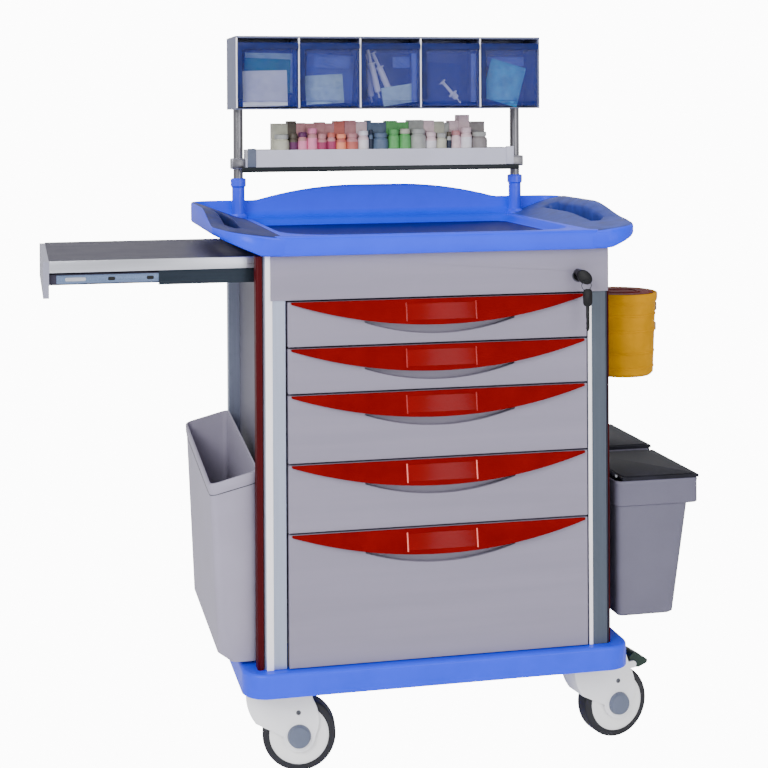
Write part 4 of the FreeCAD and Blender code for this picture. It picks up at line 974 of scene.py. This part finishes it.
def packet(name, centre, wide, high, thick, lean, body, look, wrinkle=1.6):
    """A crumpled sachet: a pillow with seeded wrinkles, leaning by (about Y, about X) degrees."""
    form = bmesh.new()
    count = 14
    turn = Matrix.Rotation(math.radians(lean[0]), 3, "Y") @ Matrix.Rotation(math.radians(lean[1]), 3, "X")
    bends = [(dice.uniform(2, 5), dice.uniform(0, 6), dice.uniform(1, 4), dice.uniform(0, 6)) for _ in range(3)]
    for side in (-1, 1):
        rows = []
        for i in range(count + 1):
            row = []
            for j in range(count + 1):
                u, v = i / count * 2 - 1, j / count * 2 - 1
                puff = (1 - u**4) * (1 - v**4)
                ripple = sum(math.sin(a * u * 2 + b + c * v * 2 + e) for a, b, c, e in bends) / 3
                spot = Vector((u * wide / 2, side * thick / 2 * puff + ripple * wrinkle * puff, v * high / 2))
                row.append(form.verts.new(centre + turn @ spot / 1000))
            rows.append(row)
        for i in range(count):
            for j in range(count):
                form.faces.new((rows[i][j], rows[i + 1][j], rows[i + 1][j + 1], rows[i][j + 1]))
    bmesh.ops.remove_doubles(form, verts=form.verts, dist=CLOSE)
    return piece(name, form, body, look, smooth=60)


def syringe(name, centre, lean, body, long=96):
    """A packed syringe: barrel, flange and plunger, leaning in the bin."""
    way = Matrix.Rotation(math.radians(lean), 3, "Y") @ Vector((0, 0, 1))
    half = long / 2
    profile = [(0, -half), (1.6, -half), (1.8, -half + 10), (6.2, -half + 13), (6.4, half - 34)]
    profile += [(10, half - 33), (10, half - 31), (5.0, half - 30), (3.2, half - 29), (3.2, half - 3)]
    profile += [(7.4, half - 2), (7.4, half), (0, half)]
    return lathe(name, profile, centre, way, body, LOOKS["clear_white"], steps=24)


def bottle(name, x, y, z, radius, high, label, cap, glass):
    """A small labelled vial or bottle in one mesh with three finishes."""
    r = radius
    profile = [(0, 0), (r - 1.5, 0), (r, 1.5), (r, high * 0.1), (r + 0.25, high * 0.1), (r + 0.25, high * 0.76)]
    profile += [(r, high * 0.76), (r, high * 0.79), (r * 0.92, high * 0.83), (r * 0.78, high * 0.85)]
    profile += [(r * 0.78, high * 0.87), (r * 0.9, high * 0.88), (r * 0.9, high * 0.98)]
    profile += [(r * 0.8, high), (0, high)]
    tag = [0, 0, 0, 1, 1, 1, 0, 0, 0, 0, 2, 2, 2, 2]
    looks = [LOOKS[glass], LOOKS[label], LOOKS[cap]]
    return lathe(name, profile, at(x, y, z), (0, 0, 1), "cart", looks, steps=24, tag=tag)


def carton(name, x, y, z, wide, deep, high, look, spin=0):
    """A small box standing on z."""
    return block(
        name,
        (x - wide / 2, x + wide / 2),
        (y - deep / 2, y + deep / 2),
        (z, z + high),
        "cart",
        LOOKS[look],
        r=0.8,
        steps=2,
        spin=("Z", spin),
    )


SUPPLIES = [
    # start, end, what stands behind, label, cap
    (-214, -184, "cream", "cream", "ash"),
    (-183, -167, "umber", "plum", "umber"),
    (-166, -148, "rose", "pink", "plum"),
    (-147, -128, "rose", "pink", "pink"),
    (-127, -109, "rose", "magenta", "rose"),
    (-108, -91, "rose", "magenta", "salmon"),
    (-90, -70, "salmon", "orange", "orange"),
    (-69, -47, "rose", "salmon", "rose"),
    (-46, -25, "blush", "white", "white"),
    (-24, -16, "slate", "ink", "ink"),
    (-15, 14, "slate", "slate", "slate"),
    (15, 37, "green", "green", "green"),
    (38, 60, "green", "green", "cream"),
    (61, 91, "ash", "ash", "ash"),
    (92, 113, "blush", "white", "blush"),
    (114, 134, "cream", "cream", "ash"),
    (135, 144, "ash", "ink", "umber"),
    (145, 163, "blush", "blush", "rose"),
    (164, 186, "blush", "white", "blush"),
    (187, 218, "stone", "stone", "ash"),
]


PACK_HIGH, TALL_PACK = 92, 18


def supplies():
    """What stands in the long tray: packs behind, small labelled bottles in front."""
    low, high = reach("supply_tray")
    floor = low.z + 2.2
    front, back = low.y + 19, high.y - 19
    for index, (start, end, behind, label, cap) in enumerate(SUPPLIES):
        middle, wide = (start + end) / 2, end - start
        tall = PACK_HIGH + dice.uniform(-3, 3) + (10 if index == TALL_PACK else 0)
        twist = dice.uniform(-1.5, 1.5)
        carton(f"pack_{index}", middle, back - 4, floor, wide + 1, 26, tall, behind, twist)
        short = dice.uniform(68, 80)
        bottle(f"bottle_{index}", middle, front, floor, wide / 2 + 0.3, short, label, cap, behind)


DIVIDER_PITCH = 119.2
# The glare and glint entries are light sheets in the bin_sheen colour: painted highlights standing for
# reflections on the bins' clear fronts.
BIN_CONTENTS = {
    # bin: (name, what, dx, in, height, wide, high, thick, lean)
    1: [
        ("sachet_white", "paper", -4, 9, 1176, 86, 68, 4, (-1, -3)),
        ("sachet_teal", "teal", 2, 17, 1200, 88, 66, 6, (2, -4)),
        ("sachet_behind", "pale_blue", 6, 26, 1206, 92, 76, 6, (1, -4)),
    ],
    2: [
        ("sachet_pale", "pale_blue", -8, 11, 1174, 74, 56, 8, (-3, -5)),
        ("sachet_glare", "bin_sheen", 8, 16, 1226, 70, 24, 5, (2, -4)),
        ("sachet_soft", "bin_sheen", 6, 30, 1196, 92, 92, 10, (4, -4)),
    ],
    3: [
        ("sachet_low", "pale_blue", 18, 14, 1163, 62, 36, 6, (-8, -5)),
        ("sachet_glint", "bin_sheen", 26, 18, 1226, 34, 22, 5, (0, -4)),
    ],
    4: [
        ("sachet_dark", "bin_shade", -10, 30, 1186, 78, 80, 12, (3, -4)),
    ],
    5: [
        ("sachet_bag", "bag_blue", -6, 13, 1186, 74, 80, 12, (16, -4)),
        ("sachet_glare_b", "bin_sheen", 0, 22, 1228, 76, 18, 5, (0, -4)),
    ],
}


def bin_details():
    """Packets and syringes in the tipping bins, painted highlights on some bins' fronts, and painted shade
    along the upper edge of each bin's front.
    """
    for number, contents in BIN_CONTENTS.items():
        low, high = reach(f"tilt_bin_{number}")
        middle, front = (low.x + high.x) / 2, low.y + 7
        body = f"tilting_bin_{number}"
        for name, look, dx, depth, height, wide, tall, thick, lean in contents:
            place = at(middle + dx, front + depth, height)
            packet(name, place, wide, tall, thick, lean, body, LOOKS[look], 2.2)
        # A dark band across the top of each bin's front and down its left side: painted shade under the
        # housing's roof.
        shade = rounded(
            [
                (low.x + 1.2, low.z + 14, 1),
                (low.x + 10.5, low.z + 14, 1),
                (low.x + 9, high.z - 13, 4),
                (high.x - 1.2, high.z - 12, 1),
                (high.x - 1.2, high.z - 1.5, 2),
                (low.x + 1.2, high.z - 1.5, 2),
            ]
        )
        dark = LOOKS["bin_shade"]
        extrude(f"bin_lip_{number}", shade, "XZ", low.y - 1.2, low.y + 2, body, dark, r=0.6)
        # Bins 3 and 4 get a light strip near their right side: a painted highlight on the clear front.
        if number in (3, 4):
            spot = ((high.x - 15, high.x - 5), (front + 6, front + 8), (low.z + 8, high.z - 20))
            block(f"bin_sheen_{number}", *spot, body, LOOKS["bin_sheen"], r=0.9)
    low, high = reach("tilt_bin_3")
    middle, front = (low.x + high.x) / 2, low.y + 7
    syringe("syringe_a", at(middle - 30, front + 16, 1206), -14, "tilting_bin_3", 100)
    syringe("syringe_b", at(middle - 8, front + 24, 1198), -24, "tilting_bin_3", 104)
    syringe("syringe_c", at(middle - 34, front + 34, 1196), -6, "tilting_bin_3", 96)
    low, high = reach("tilt_bin_4")
    syringe("swab_stick", at((low.x + high.x) / 2 + 6, low.y + 20, 1168), -42, "tilting_bin_4", 56)


def housing_details():
    """Painted highlights along the front edges of the housing's left end and four dividers, as thin white
    strips.
    """
    low, high = reach("bin_housing")
    for index in range(5):
        start = low.x + DIVIDER_PITCH * index
        block(
            f"divider_highlight_{index}",
            (start + 0.5, start + 3.6),
            (low.y - 0.9, low.y + 0.6),
            (low.z + 3, high.z - 3),
            "cart",
            LOOKS["highlight_white"],
            "housing_silver",
            r=0.7,
        )


def tray_details():
    """The long tray's dark bar, end caps and clamps on the posts."""
    low, high = reach("supply_tray")
    bar = (low.z - 2, low.z + 8)
    block("tray_bar", (low.x + 16, high.x - 16), (low.y - 2, low.y + 2), bar, "cart", LOOKS["slide_dark"], r=1)
    for word, side in SIDES.items():
        x = sorted((side * 252, side * 268))
        look = LOOKS["cap_grey" if side < 0 else "supply_plastic"]
        block(f"tray_end_{word}", x, (low.y - 2.5, low.y + 4), (low.z + 8, high.z + 3), "cart", look, r=1.5)
        x = sorted((side * 267.5, side * (high.x + 0.6)))
        y, z = (high.y - 48.6, high.y - 21.4), (low.z + 3.4, low.z + 24.6)
        block(f"tray_clamp_{word}", x, y, z, "cart", LOOKS["post_aluminium"], "supply_plastic", r=3)


# ---------------------------------------------------------------- back and sides


def panel_screws():
    """Eight screws round the back panel's edge."""
    low, high = reach("back_panel")
    middle = (low.z + high.z) / 2
    spots = [(x, z) for x in (low.x + 14, 0, high.x - 14) for z in (low.z + 20, middle, high.z - 20)]
    for index, (x, z) in enumerate(spots):
        if (x, z) != (0, middle):
            screw(f"back_screw_{index}", at(x, high.y, z), (0, 1, 0), "cart")


# The small rounds on the CAD nodes' edges, in millimetres.
ROUNDED = {
    "base_cover": 3,
    "corner_columns": 1.5,
    "side_trim_strips": 1.2,
    "top_fascia": 0.8,
    "shelf_board": 0.5,
    "shelf_pull": 1.5,
    "supply_tray": 0.8,
    "bin_housing": 0.8,
    "side_brackets": 1.0,
    "chassis_frame": 1.5,
    "waste_lid_front": 1.5,
    "waste_lid_rear": 1.5,
}
for number in DRAWERS:
    ROUNDED[f"drawer_front_{number}"] = 1.2
    ROUNDED[f"drawer_handle_{number}"] = 1.2
    ROUNDED[f"drawer_tray_{number}"] = 0.6
    ROUNDED[f"tilt_bin_{number}"] = 0.7
for corner in CORNERS:
    ROUNDED[f"caster_fork_{corner}"] = 2
for label, width in ROUNDED.items():
    soften(frame["nodes"][label], width / 1000)

for number in DRAWERS:
    drawer_details(number)
lock_details()
for corner in CORNERS:
    caster_details(corner)
shelf_details()
tub_details()
left_bin()
right_bins()
worktop()
column_details()
bin_details()
housing_details()
tray_details()
supplies()
panel_screws()
